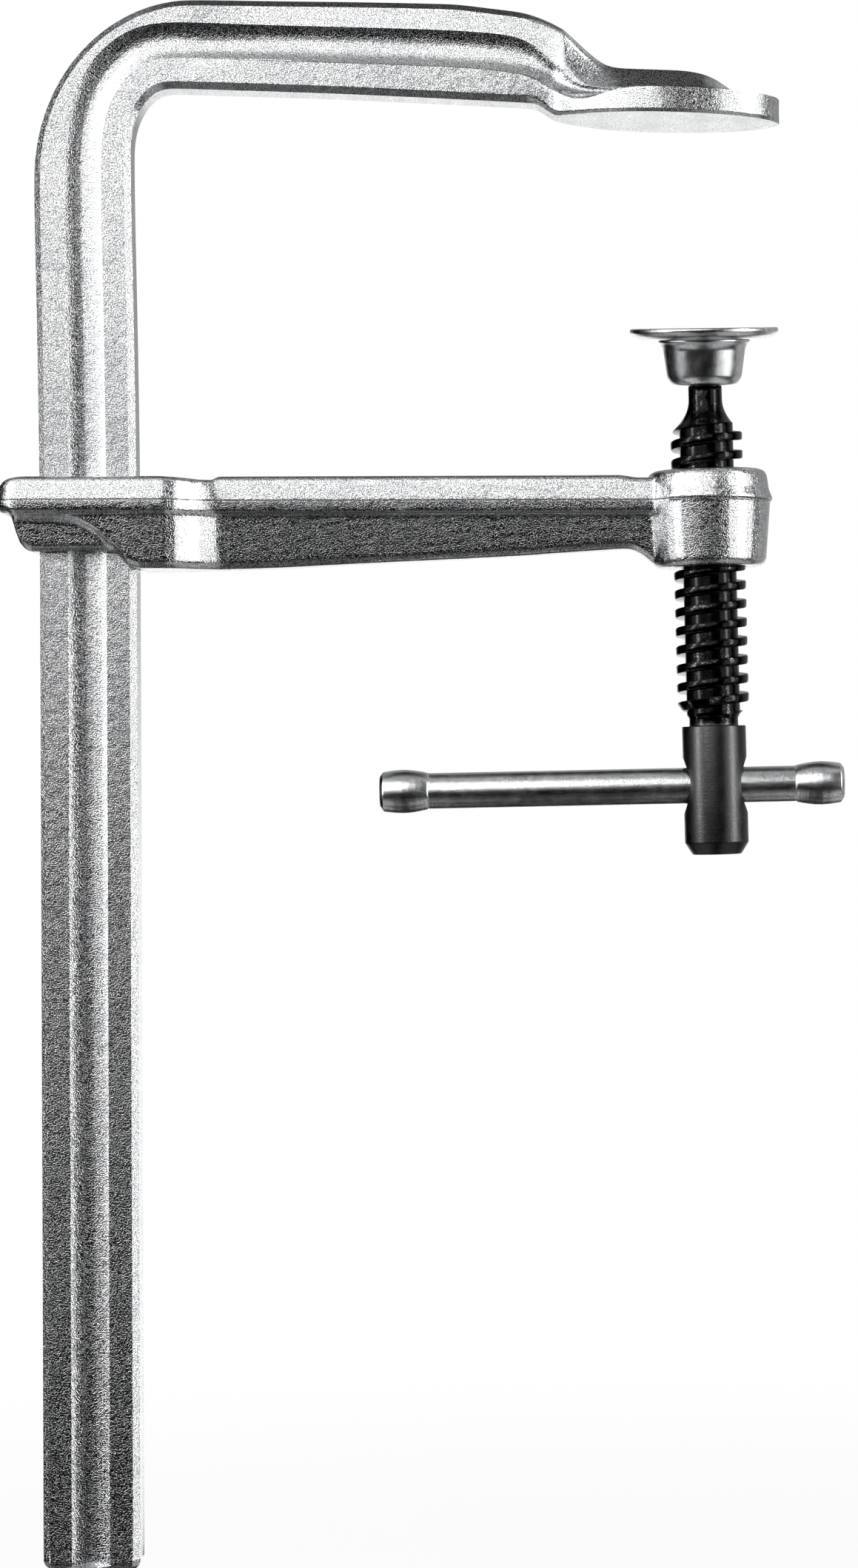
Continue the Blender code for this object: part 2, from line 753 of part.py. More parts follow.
def add_turned(bm, profile, sides):
    """Turned faces about Z, which stay open at both ends of the profile."""
    for side in range(sides):
        corners = []
        for angle in (math.tau * side / sides, math.tau * (side + 1) / sides):
            corners.append([bm.verts.new((r * math.cos(angle), r * math.sin(angle), z)) for r, z in profile])
        for n in range(len(profile) - 1):
            bm.faces.new((corners[0][n], corners[1][n], corners[1][n + 1], corners[0][n + 1]))


def nut_mesh():
    """What the screw's thread needs in the boss: its own thread, grown by the clearance."""
    top = -BOSS_TOP + CUTTER_OVERRUN
    bottom = -BOSS_BOTTOM - CUTTER_OVERRUN
    core = THREAD_CORE_RADIUS + THREAD_CLEARANCE
    bm = bmesh.new()
    add_thread(
        bm,
        top,
        bottom,
        core,
        THREAD_CREST_RADIUS + THREAD_CLEARANCE,
        THREAD_CREST_WIDTH + 2 * THREAD_CLEARANCE,
        THREAD_BASE_WIDTH + 2 * THREAD_CLEARANCE,
        THREAD_CLEARANCE,
    )
    add_turned(bm, [(core, top), (0, top)], THREAD_SIDES)
    add_turned(bm, [(0, bottom), (core, bottom)], THREAD_SIDES)
    return finish_mesh(bm, "nut_thread")


def spindle_mesh():
    ball_end = math.asin(NECK_TOP_RADIUS / BALL_RADIUS)
    top_profile = [(0, -BALL_PLACE + BALL_RADIUS)]
    top_profile += list(arc_points(-BALL_PLACE, BALL_RADIUS, math.pi, ball_end, BALL_STEPS))[1:]
    top_profile += [(NECK_RADIUS, -NECK_PLACE)]
    for n in range(FLARE_STEPS + 1):
        part = n / FLARE_STEPS
        height = -FLARE_PLACE + (FLARE_PLACE - FLARE_END) * part
        top_profile.append((NECK_RADIUS + (FLARE_RADIUS - NECK_RADIUS) * part * part, height))
    top_profile.append((THREAD_CORE_RADIUS, -THREAD_TOP))
    low_profile = [
        (THREAD_CORE_RADIUS, -THREAD_BOTTOM),
        (RELIEF_RADIUS, -THREAD_BOTTOM - THREAD_CREST_WIDTH / 2),
        (RELIEF_RADIUS, -HUB_TOP),
        (HUB_RADIUS, -HUB_TOP),
        (HUB_RADIUS, -HUB_BOTTOM + HUB_CHAMFER_RISE),
        (HUB_RADIUS - HUB_CHAMFER, -HUB_BOTTOM),
        (0, -HUB_BOTTOM),
    ]
    bm = bmesh.new()
    add_turned(bm, top_profile, THREAD_SIDES)
    add_thread(
        bm,
        -THREAD_TOP,
        -THREAD_BOTTOM,
        THREAD_CORE_RADIUS,
        THREAD_CREST_RADIUS,
        THREAD_CREST_WIDTH,
        THREAD_BASE_WIDTH,
        THREAD_FADE,
    )
    add_turned(bm, low_profile, THREAD_SIDES)
    return finish_mesh(bm, "spindle")


def cross_hole_mesh():
    """The cross hole with a countersink at each end, turned about Z."""
    hole = BAR_RADIUS + BAR_HOLE_CLEARANCE
    sink_start = HUB_RADIUS - COUNTERSINK_DEPTH
    spread = (COUNTERSINK_RADIUS - hole) / COUNTERSINK_DEPTH
    reach = HUB_RADIUS + COUNTERSINK_DEPTH
    wide = hole + spread * (reach - sink_start)
    profile = [
        (0, -reach),
        (wide, -reach),
        (hole, -sink_start),
        (hole, sink_start),
        (wide, reach),
        (0, reach),
    ]
    return turned_mesh("cross_hole", profile, BAR_SIDES)


def build_spindle(screw, hole_frame):
    spindle = add_object("spindle", spindle_mesh(), black_oxide("spindle_black"), screw)
    combine(spindle, add_helper("cross_hole_cutter", cross_hole_mesh(), hole_frame), "DIFFERENCE")


def bar_mesh():
    """The cross bar about Z, with a spigot at each end for its cap."""
    left = -BAR_LEFT_REACH + CAP_LENGTH
    right = BAR_LENGTH - BAR_LEFT_REACH - CAP_LENGTH
    profile = [
        (0, left - SPIGOT_LENGTH),
        (SPIGOT_RADIUS, left - SPIGOT_LENGTH),
        (SPIGOT_RADIUS, left),
        (BAR_RADIUS, left),
        (BAR_RADIUS, right),
        (SPIGOT_RADIUS, right),
        (SPIGOT_RADIUS, right + SPIGOT_LENGTH),
        (0, right + SPIGOT_LENGTH),
    ]
    return turned_mesh("tommy_bar", profile, BAR_SIDES)


def cap_mesh(name):
    """A barrel-shaped cap about Z with its blind bore's mouth at the origin, facing down."""
    bore = SPIGOT_RADIUS + CAP_CLEARANCE
    body = CAP_LENGTH - CAP_CLEARANCE
    profile = [(0, SPIGOT_LENGTH), (bore, SPIGOT_LENGTH), (bore, 0)]
    for place, part in CAP_SHARES:
        profile.append((CAP_MOUTH_RADIUS + (CAP_RADIUS - CAP_MOUTH_RADIUS) * part, body * place))
    end_radius = profile[-1][0]
    profile.append((end_radius - CAP_END_CHAMFER, body))
    profile.append((0, body))
    return turned_mesh(name, profile, BAR_SIDES)


def build_tommy_bar(bar_frame):
    add_object("tommy_bar", bar_mesh(), satin_zinc("bar_zinc"), bar_frame)
    left = -BAR_LEFT_REACH + CAP_LENGTH - CAP_CLEARANCE
    right = BAR_LENGTH - BAR_LEFT_REACH - CAP_LENGTH + CAP_CLEARANCE
    flipped = Matrix.Translation((0, 0, left)) @ Matrix.Rotation(math.pi, 4, "X")
    left_zinc = satin_zinc("left_cap_zinc")
    left_cap = add_object("end_cap_left", cap_mesh("end_cap_left"), left_zinc, bar_frame)
    left_cap.matrix_local = flipped
    right_zinc = satin_zinc("right_cap_zinc")
    right_cap = add_object("end_cap_right", cap_mesh("end_cap_right"), right_zinc, bar_frame)
    right_cap.matrix_local = Matrix.Translation((0, 0, right))


def disc_mesh():
    """The face disc about Z, whose spigot has a hollow that rides on the ball at the origin."""
    under = PLATE_FACE_RISE - PLATE_THICKNESS
    hollow = BALL_RADIUS + PLATE_CLEARANCE
    spigot = hollow + RING_THICKNESS
    spigot_foot = under - PLATE_SPIGOT_LENGTH
    hollow_edge = math.pi - math.acos(spigot_foot / hollow)
    softer = PLATE_ROUND / 4
    profile = [
        (0, PLATE_FACE_RISE),
        (PLATE_RADIUS - softer / 3, PLATE_FACE_RISE),
        (PLATE_RADIUS, PLATE_FACE_RISE - softer / 3),
        (PLATE_RADIUS, PLATE_FACE_RISE - PLATE_EDGE),
        (PLATE_RADIUS - softer, under + softer),
        (PLATE_RADIUS - PLATE_ROUND * 2 / 3, under + softer / 4),
        (PLATE_RADIUS - PLATE_ROUND, under),
        (spigot, under),
        (spigot, spigot_foot),
    ]
    profile += list(arc_points(0, hollow, hollow_edge, math.pi, BALL_STEPS // 2))[:-1]
    profile.append((0, hollow))
    return turned_mesh("pressure_disc", profile, PLATE_SIDES)


def cup_inner_radius():
    return BALL_RADIUS + 2 * PLATE_CLEARANCE + RING_THICKNESS


def cup_mesh():
    """The cup about Z round the ball at the origin, open at the top and at its mouth below."""
    top = PLATE_FACE_RISE - PLATE_THICKNESS - PLATE_CLEARANCE
    inner = cup_inner_radius()
    lip_angle = math.asin(CUP_MOUTH_RADIUS / inner)
    corner = CUP_BOTTOM_DROP - CUP_FOOT_DROP
    profile = [
        (inner, top),
        (CUP_FLANGE_RADIUS, top),
        (CUP_FLANGE_RADIUS, top - CUP_FLANGE),
        (CUP_TOP_RADIUS + CUP_FLANGE, top - CUP_FLANGE * 2),
        (CUP_TOP_RADIUS, top - CUP_FLANGE * 4),
        (CUP_FOOT_RADIUS, -CUP_FOOT_DROP),
        (CUP_FOOT_RADIUS - corner / 4, -CUP_BOTTOM_DROP + corner / 2),
        ((CUP_LIP_RADIUS + CUP_FOOT_RADIUS) / 2, -CUP_BOTTOM_DROP + corner / 8),
        (CUP_LIP_RADIUS, -CUP_BOTTOM_DROP),
        (CUP_MOUTH_RADIUS, -CUP_BOTTOM_DROP),
    ]
    profile += list(arc_points(0, inner, lip_angle, math.pi / 2, BALL_STEPS // 2))
    bm = bmesh.new()
    add_turned(bm, profile + profile[:1], PLATE_SIDES)
    return finish_mesh(bm, "ball_cup")


def ring_mesh():
    """A split ring under the ball, with round inner and outer faces about the origin."""
    inner = BALL_RADIUS + PLATE_CLEARANCE
    outline = list(arc_points(0, inner, RING_LOW_ANGLE, RING_HIGH_ANGLE, RING_STEPS))
    outer = list(arc_points(0, inner + RING_THICKNESS, RING_LOW_ANGLE, RING_HIGH_ANGLE, RING_STEPS))
    outline += reversed(outer)
    rings = []
    for side in range(RING_SIDES + 1):
        angle = RING_GAP_ANGLE / 2 + (math.tau - RING_GAP_ANGLE) * side / RING_SIDES
        rings.append([(r * math.cos(angle), r * math.sin(angle), z) for r, z in outline])
    bm = bmesh.new()
    bridge_rings(bm, rings)
    return finish_mesh(bm, "retaining_ring")


def build_pressure_plate(plate_frame):
    add_object("pressure_disc", disc_mesh(), satin_zinc("disc_zinc"), plate_frame)
    add_object("ball_cup", cup_mesh(), satin_zinc("cup_zinc"), plate_frame)
    add_object("retaining_ring", ring_mesh(), satin_zinc("ring_steel"), plate_frame)


def main():
    clear_scene()
    screw = add_frame("screw_axis", Matrix.Rotation(-SCREW_LEAN, 4, "Y"))
    across = Matrix.Translation((0, 0, -BAR_PLACE)) @ Matrix.Rotation(math.pi / 2, 4, "Y")
    hole_frame = add_frame("cross_hole_axis", across, screw)
    bar_frame = add_frame("bar_axis", Matrix.Rotation(BAR_SAG, 4, "Y"), hole_frame)
    tilt = Matrix.Rotation(PLATE_LEAN, 4, "Y") @ Matrix.Rotation(PLATE_NOD, 4, "X")
    plate_frame = add_frame("plate_pivot", Matrix.Translation((0, 0, -BALL_PLACE)) @ tilt, screw)
    build_rail()
    build_sliding_arm(screw)
    build_spindle(screw, hole_frame)
    build_tommy_bar(bar_frame)
    build_pressure_plate(plate_frame)


main()
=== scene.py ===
"""The finished look of a steel screw clamp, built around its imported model, in a plain studio.

Lengths are in metres, +Z is up, and the camera looks along +Y.
"""

import json
import math

import bpy
from mathutils import Matrix, Vector


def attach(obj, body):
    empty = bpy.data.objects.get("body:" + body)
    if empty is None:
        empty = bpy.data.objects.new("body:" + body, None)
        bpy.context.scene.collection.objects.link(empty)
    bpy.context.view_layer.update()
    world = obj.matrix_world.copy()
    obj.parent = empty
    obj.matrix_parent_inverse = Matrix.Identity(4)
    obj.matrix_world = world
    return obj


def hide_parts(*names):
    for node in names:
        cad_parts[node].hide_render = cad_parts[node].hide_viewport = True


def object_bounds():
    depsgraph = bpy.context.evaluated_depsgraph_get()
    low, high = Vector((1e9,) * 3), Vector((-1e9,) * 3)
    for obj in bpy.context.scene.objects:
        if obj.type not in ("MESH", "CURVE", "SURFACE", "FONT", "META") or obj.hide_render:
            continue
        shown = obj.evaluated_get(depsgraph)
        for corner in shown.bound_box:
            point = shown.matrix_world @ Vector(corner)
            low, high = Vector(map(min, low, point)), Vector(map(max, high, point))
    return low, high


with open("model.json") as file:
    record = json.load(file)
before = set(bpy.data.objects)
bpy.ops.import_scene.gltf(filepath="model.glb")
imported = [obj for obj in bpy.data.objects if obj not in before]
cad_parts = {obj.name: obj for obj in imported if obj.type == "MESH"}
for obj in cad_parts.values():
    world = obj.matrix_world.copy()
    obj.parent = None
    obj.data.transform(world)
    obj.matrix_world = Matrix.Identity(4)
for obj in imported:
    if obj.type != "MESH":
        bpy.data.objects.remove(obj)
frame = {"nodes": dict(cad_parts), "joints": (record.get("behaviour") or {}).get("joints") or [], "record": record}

cad_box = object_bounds()
joints = {joint["name"]: joint for joint in frame["joints"]}
mounts = {mount["name"]: mount for mount in frame["record"]["mounts"]}

# Where the moving pieces are: the screw's axis passes through the origin, with the ball on it
ball_centre = Vector(joints["spindle_turn"]["pos_m"])
screw_axis = Vector(joints["spindle_turn"]["axis"])
plate_axis = Vector(mounts["pressure_plate_face"]["axis"])
bar_axis = Vector(joints["bar_slide"]["axis"])
UP = Vector((0, 0, 1))

# Spindle, measured down its axis from the origin
THREAD_PITCH = 0.0040
CORE_RADIUS = 0.00575
CREST_RADIUS = 0.0077
CREST_WIDTH = 0.0017
BASE_WIDTH = 0.0022
CREST_EDGE = 0.00018
THREAD_TOP = 0.0646
THREAD_BOTTOM = 0.1270
THREAD_FADE = 0.0020
CREST_PLACE = 0.0673
THREAD_SIDES = 80
BALL_PLACE = 0.0511
BALL_RADIUS = 0.0049
NECK_TOP_RADIUS = 0.0029
NECK_RADIUS = 0.0036
NECK_PLACE = 0.0567
FLARE_PLACE = 0.0594
FLARE_RADIUS = 0.0054
FLARE_END = 0.0642
RELIEF_RADIUS = 0.00525
HUB_TOP = 0.1295
HUB_BOTTOM = 0.1570
HUB_RADIUS = 0.00684
HUB_CHAMFER = 0.0016
HUB_CHAMFER_RISE = 0.0025
HUB_EDGE = 0.00025
BAR_PLACE = 0.1422
HOLE_RADIUS = 0.00415
SINK_RADIUS = 0.0061
SINK_DEPTH = 0.0016

# Cross bar and its caps, measured along the bar from the screw's axis; each cap's bulge is given by
# places along the cap and shares of the bulge there, both up to 1
BAR_RADIUS = 0.00385
BAR_LEFT = -0.0616
BAR_RIGHT = 0.0172
BAR_EDGE = 0.0002
CAP_LENGTH = 0.0104
CAP_CLEARANCE = 0.0003
CAP_MOUTH_RADIUS = 0.0039
CAP_RADIUS = 0.0047
CAP_END_CHAMFER = 0.0013
CAP_BREAK_PLACE = 0.93
CAP_BREAK_SHARE = 0.25
SPIGOT_RADIUS = 0.0026
SPIGOT_LENGTH = 0.0072
CAP_SHARES = (
    (0.0, 0.0),
    (0.05, 0.18),
    (0.14, 0.43),
    (0.25, 0.69),
    (0.40, 0.93),
    (0.54, 1.0),
    (0.70, 0.86),
)

# Pressure plate, measured along its own axis from the ball's centre
FACE_RISE = 0.0070
DISC_RADIUS = 0.0159
DISC_THICKNESS = 0.0024
DISC_EDGE = 0.0009
DISC_ROUND = 0.0030
DISC_CORNERS = 0.0003
PLATE_GAP = 0.0003
SOCKET_WALL = 0.001
SOCKET_DROP = 0.0011
CUP_INNER_RADIUS = 0.0065
CUP_FLANGE_RADIUS = 0.0098
CUP_FLANGE = 0.0005
CUP_TOP_RADIUS = 0.0088
CUP_FOOT_RADIUS = 0.0080
CUP_FOOT_DROP = 0.0034
CUP_BOTTOM_DROP = 0.0053
CUP_LIP_RADIUS = 0.0058
CUP_MOUTH_RADIUS = 0.0052
CUP_CORNERS = 0.0006

# Sliding arm: the height of the forging's parting line, the size and the smoothing of its new mesh,
# and the flash that stands proud of the boss
PARTING_HEIGHT = -0.0812
ARM_VOXEL = 0.00041
ARM_SMOOTHING = 5
BOSS_RADIUS = 0.0134
FLASH_TOP = -0.0786
FLASH_PEAK = -0.0809
FLASH_FOOT = -0.0815
FLASH_PROUD = 0.00055

# Rail and fixed arm: how wide the edges along the rail's back are rounded, and the shares of that
# for the other edges that are sharper than an angle, on the rail and on the jaw. The jaw's edges
# lie beyond a place along X, and the back's faces have normals whose X is below a value
EDGE_WIDTH = 0.00090
RAIL_EDGES = ((38, 0.49), (20, 0.19))
JAW_START = -0.046
JAW_EDGES = ((25.5, 0.28),)
BACK_FACING = -0.9
RAIL_LEVELS = 2

# Fixed arm: the middle of its step down to the jaw, and how far and how much its forms are eased
STEP_PLACE = -0.0290
STEP_REACH = 0.0090
STEP_SMOOTHING = 120

# Meshes: the sides of a turned piece, the steps of an arc, the distance at which corners are merged
# and, in degrees, how bent and how skew two triangles may be to make a quad and from what angle on
# an edge stays sharp
ROUND_SIDES = 96
ARC_STEPS = 10
MERGE = 0.00001
QUAD_BEND = 40
QUAD_SKEW = 60
SHARP_ANGLE = 40
RAIL_SHARP_ANGLE = 60
ARM_SHARP_ANGLE = 80
SPINDLE_SHARP_ANGLE = 38

# Finishes: the sizes and depths of their noises, the values between which a noise turns from 0 to
# 1, greys with their level and their cast of blue, and what each part adds to the roughness
NOISE_MIDDLE = 0.5
BLOTCH_EDGES = (0.3, 0.7)

GRAIN_SIZE = 0.00025
GRAIN_DEPTH = 0.000021
GRAIN_EDGE = 0.09
DENT_SIZE = 0.0026
DENT_DEPTH = 0.00007
STAIN_SIZE = 0.012
STAIN_EDGES = (0.38, 0.66)
# The parting seam: a groove in the bump, whose shade is also painted into the colour
SEAM_WIDTH = 0.00022
SEAM_DEPTH = 0.00008
SEAM_WANDER = 2
SEAM_EDGES = (1.0, 0.2)
FORGED_CLEAN = (0.80, 0.020)
FORGED_STAINED = (0.73, 0.045)
# Painted shade in the grain's creases and the parting seam: its grey, and how far the colour goes to it
FORGED_PAINTED_SHADE = (0.10, 0.06)
FORGED_SHADE_AMOUNT = 0.90
FORGED_ROUGH = 0.09
STAIN_ROUGH = 0.05
CREASE_ROUGH = 0.10

SATIN_GRAIN_SIZE = 0.00021
SATIN_GRAIN_DEPTH = 0.000023
SATIN_BLOTCH_SIZE = 0.0022
SATIN_BLOTCH_DEPTH = 0.000014
SATIN_BLOTCH_EDGES = (0.35, 0.65)
SPECK_EDGES = (0.51, 0.38)
SPECK_DARKENING = 0.6
SATIN_CLEAN = (0.80, 0.03)
SATIN_BRIGHT = (0.90, 0.02)
SATIN_DARK = (0.30, 0.04)
SATIN_ROUGH = 0.21
SATIN_BLOTCH_ROUGH = 0.06

OXIDE_GRAIN_SIZE = 0.0004
TURNING_SIZE = 0.0003
TURNING_STRETCH = (0.02, 0.02, 1.0)
OXIDE_BLOTCH_SIZE = 0.0030
OXIDE_DEPTH = 0.000026
WORN_EDGES = (0.54, 0.66)
THREAD_BLACK = (0.012, 0.02)
HUB_BLACK = (0.056, 0.02)
WORN_BLACK = (0.080, 0.02)
THREAD_ROUGH = 0.10
HUB_ROUGH = 0.18
OXIDE_BLOTCH_ROUGH = 0.08

RING_GRAIN_SIZE = 0.0005
RING_GRAIN_DEPTH = 0.00001
RING_DARK = (0.42,)
RING_LIGHT = (0.54,)
RING_ROUGH = 0.3
RING_GRAIN_ROUGH = 0.1

# Camera, in the photograph's pixels: its height, the focal length, its middle, and where the
# camera's axis meets it; then the camera's place, its roll in radians and its sensor's width in mm
PHOTO_HEIGHT = 2118
FOCAL_LENGTH = 5330
PHOTO_MIDDLE = (579.5, 1059)
AXIS_PIXEL = (766, 1037)
CAMERA_PLACE = (-0.0286, -0.847, -0.1383)
CAMERA_ROLL = -0.0036
SENSOR_WIDTH = 36
CLIP_START = 0.01

# World, floor and lamps: the floor fades into the white between two distances from the origin, and
# each lamp has its place, its two sizes and its power
WORLD_LEVEL = 0.55
FLOOR_SIZE = 12
FLOOR_GAP = 0.0010
FLOOR_GREY = 0.9
FLOOR_FADE = (0.25, 0.9)
LAMP_AIM = (-0.06, 0, -0.10)
KEY_LAMP = ((-0.35, -1.15, 0.45), (1.1, 0.7), 16)
OVERHEAD_LAMP = ((0.1, 0.3, 1.2), (1.0, 1.0), 9)

# Dome, in degrees: the azimuth goes from the camera's side towards +X, and the elevation up from
# the horizon. A pair holds the angles where a light is 0 and where it is full; three values hold
# where a light starts and ends and how soft both edges are. A light with two such threes has its
# azimuths first and its elevations next
DOME_RADIUS = 4.0
BOX_LOWER = (-3, 13)
BOX_UPPER = (62, 40)
BOX_LEFT = (-104, -98)
BOX_RIGHT = (2, -7)
BOX_LEAN = 16
BOX_LEAN_ELEVATIONS = (10, 19)
BOX_DROP = 17
BOX_DROP_START = (-42, -64)
BOX_DROP_END = (-97, -86)
BOX_REST = 0.7
BOX_REST_TOP = (8, 5)
BOX_REST_END = (-84, -74)
BOX_LEVEL = 1.6
BAND = ((-62, -24, 8), (-8, 4, 5))
BAND_LEVEL = 0.26
STRIP = ((38, 90, 4), (-20, 27, 5))
STRIP_LEVEL = 1.3
HEARTS = (
    ((-68, -60, 3), (-4, 42, 5)),
    ((-38, -26, 4), (18, 32, 5)),
    ((62, 72, 3), (-8, 46, 5)),
)
HEART_LEVEL = 12
WALL = ((108, 156, 6), (-28, 48, 8))
WALL_LEVEL = 0.38
BACK_SIDES = (150, 164)
BACK_ELEVATIONS = (-24, 48, 6)
BACK_LEVEL = 0.38
BACK_FOOT = (7, -4)
BACK_FOOT_LEVEL = 0.90
CEILING_EDGE = (44, 60)
CEILING_SIDES = (110, 80)
CEILING_LEVEL = 0.34
REAR_CEILING = (38, 64, 6)
REAR_CEILING_START = (106, 124)
REAR_CEILING_END = (168, 152)
REAR_CEILING_LEVEL = 0.36
GROUND_EDGE = (-30, -55)
GROUND_LEVEL = 0.02
DIM_LEVEL = 0.003
HAZE_EDGE = (-10, 4)
HAZE_SIDES = (130, 100)
HAZE_LEVEL = 0.04
PALE_TOP = (-32, -46)
PALE_BOTTOM = (-80, -66)
PALE_BACK = (165, 145)
PALE_FRONT_BOTTOM = (-50, -38)
PALE_FRONT_END = (16, 32)
PALE_LEVEL = 0.03
PALE_SIDES = (17, 40)
PALE_SIDE_LEVEL = 0.42


class Wave:
    """A shader socket that works in sums, which add their Math nodes to the socket's own tree."""

    def __init__(self, look, socket):
        self.look = look
        self.socket = socket

    def math(self, operation, *values):
        return self.look.node("ShaderNodeMath", {"operation": operation}, dict(enumerate(values)))

    def __add__(self, other):
        return self.math("ADD", self, other)

    def __radd__(self, other):
        return self.math("ADD", other, self)

    def __sub__(self, other):
        return self.math("SUBTRACT", self, other)

    def __rsub__(self, other):
        return self.math("SUBTRACT", other, self)

    def __mul__(self, other):
        return self.math("MULTIPLY", self, other)

    def __rmul__(self, other):
        return self.math("MULTIPLY", other, self)

    def __truediv__(self, other):
        return self.math("DIVIDE", self, other)

    def __pow__(self, other):
        return self.math("POWER", self, other)

    def clamp(self):
        return self.look.node("ShaderNodeClamp", {}, {"Value": self})

    def absolute(self):
        return self.math("ABSOLUTE", self)

    def larger(self, other):
        return self.math("MAXIMUM", self, other)

    def ramp(self, low, high):
        """0 up to low, 1 from high on, and smooth between them; low may be above high."""
        settings = {"interpolation_type": "SMOOTHSTEP"}
        inputs = {"Value": self, "From Min": low, "From Max": high}
        return self.look.node("ShaderNodeMapRange", settings, inputs)

    def within(self, low, high, soft):
        """1 between two values and 0 outside them, with soft edges."""
        return self.ramp(low - soft, low + soft) * self.ramp(high + soft, high - soft)


class Look:
    """The node tree of a finish or of the studio, and the nodes that they share."""

    def __init__(self, owner):
        owner.use_nodes = True
        self.owner = owner
        self.tree = owner.node_tree

    def node(self, kind, settings, inputs, output=0):
        """Adds a node with its settings and its sockets' values or links.

        Returns the output that is named, or a list of them for a tuple of names.
        """
        made = self.tree.nodes.new(kind)
        for name, value in settings.items():
            setattr(made, name, value)
        for name, value in inputs.items():
            self.feed(made.inputs[name], value)
        if isinstance(output, tuple):
            return [Wave(self, made.outputs[name]) for name in output]
        return Wave(self, made.outputs[output])

    def feed(self, socket, value):
        """Links a socket to a wave, or sets its value."""
        if isinstance(value, Wave):
            self.tree.links.new(value.socket, socket)
        else:
            socket.default_value = value

    def end(self, kind, name, value):
        """Sets a socket of the tree's own shader or output."""
        own = next(item for item in self.tree.nodes if item.bl_idname == kind)
        self.feed(own.inputs[name], value)

    def surface(self, **values):
        """Sets sockets of the Principled shader, whose names are written in small letters."""
        for name, value in values.items():
            socket = name.replace("_", " ").title().replace("Ior", "IOR")
            self.end("ShaderNodeBsdfPrincipled", socket, value)

    def point(self):
        return self.node("ShaderNodeTexCoord", {}, {}, "Object")

    def axes(self, point):
        return self.node("ShaderNodeSeparateXYZ", {}, {"Vector": point}, ("X", "Y", "Z"))

    def mix(self, factor, low, high):
        """A colour between two, by a factor."""
        return self.node("ShaderNodeMix", {"data_type": "RGBA"}, {0: factor, 6: low, 7: high}, 2)

    def noise(self, point, size, detail=2.0, roughness=0.5, stretch=(1, 1, 1)):
        """Soft noise whose blotches are about a size across."""
        scale = [part / size for part in stretch]
        scaled = self.node("ShaderNodeMapping", {}, {"Vector": point, "Scale": scale})
        inputs = {"Vector": scaled, "Scale": 1.0, "Detail": detail, "Roughness": roughness}
        return self.node("ShaderNodeTexNoise", {}, inputs)

    def bump(self, height, depth, under=None):
        """A normal for a height from 0 to 1 that is a depth deep, over another normal."""
        inputs = {"Height": height, "Distance": depth, "Strength": 1.0}
        if under:
            inputs["Normal"] = under
        return self.node("ShaderNodeBump", {}, inputs)


def grey(level, blue=0.0):
    """A grey with a cast of blue."""
    return (level, level * (1 + blue / 2), level * (1 + blue), 1)


def forged_zinc(name, parting=None):
    """Bright zinc over a shot-blasted forging: a worm-like grain, soft dents and faint stains, with
    shade painted dark into the grain's creases.

    Where a height is given for the parting line, a fine seam goes round the piece there: a shallow
    groove in the bump, with its shade painted dark into the colour.
    """
    look = Look(bpy.data.materials.new(name))
    point = look.point()
    worms = look.noise(point, GRAIN_SIZE, detail=0.6, roughness=0.45)
    dents = look.noise(point, DENT_SIZE)
    stain = look.noise(point, STAIN_SIZE, detail=3.0, roughness=0.6).ramp(*STAIN_EDGES)
    # Plateaus with steep edges: most of the surface is even, and the edges catch dark and light. The
    # creases at those edges also get painted shade, darkened into the colour
    plateaus = worms.ramp(NOISE_MIDDLE - GRAIN_EDGE, NOISE_MIDDLE + GRAIN_EDGE)
    creases = (worms - NOISE_MIDDLE + GRAIN_EDGE).absolute().ramp(GRAIN_EDGE, 0.0)
    normal = look.bump(plateaus, GRAIN_DEPTH, look.bump(dents, DENT_DEPTH))
    clean = look.mix(stain, grey(*FORGED_CLEAN), grey(*FORGED_STAINED))
    # Painted shade: a mask of the grain's creases, and below of the parting seam too
    painted_shade = creases
    if parting is not None:
        height = look.axes(point)[2]
        wander = (worms - NOISE_MIDDLE) * SEAM_WANDER
        seam = ((height - parting) / SEAM_WIDTH + wander).absolute().ramp(*SEAM_EDGES)
        normal = look.bump(1 - seam, SEAM_DEPTH, normal)
        # The seam gets painted shade in the colour as well as its groove in the bump
        painted_shade = creases.larger(seam)
    # The colour, darkened towards the painted shade in the creases and the seam
    base = look.mix(painted_shade * FORGED_SHADE_AMOUNT, clean, grey(*FORGED_PAINTED_SHADE))
    rough = FORGED_ROUGH + stain * STAIN_ROUGH + creases * CREASE_ROUGH
    look.surface(base_color=base, roughness=rough, normal=normal, metallic=1.0)
    return look.owner


def satin_zinc(name):
    """Zinc over turned or pressed steel: a fine grain with dark specks and soft blotches."""
    look = Look(bpy.data.materials.new(name))
    point = look.point()
    grain = look.noise(point, SATIN_GRAIN_SIZE, detail=1.0)
    blotch = look.noise(point, SATIN_BLOTCH_SIZE, detail=3.0, roughness=0.6)
    specks = grain.ramp(*SPECK_EDGES)
    normal = look.bump(grain, SATIN_GRAIN_DEPTH, look.bump(blotch, SATIN_BLOTCH_DEPTH))
    bright = blotch.ramp(*SATIN_BLOTCH_EDGES)
    clean = look.mix(bright, grey(*SATIN_CLEAN), grey(*SATIN_BRIGHT))
    base = look.mix(specks * SPECK_DARKENING, clean, grey(*SATIN_DARK))
    rough = SATIN_ROUGH + blotch.ramp(*BLOTCH_EDGES) * SATIN_BLOTCH_ROUGH
    look.surface(base_color=base, roughness=rough, normal=normal, metallic=1.0)
    return look.owner


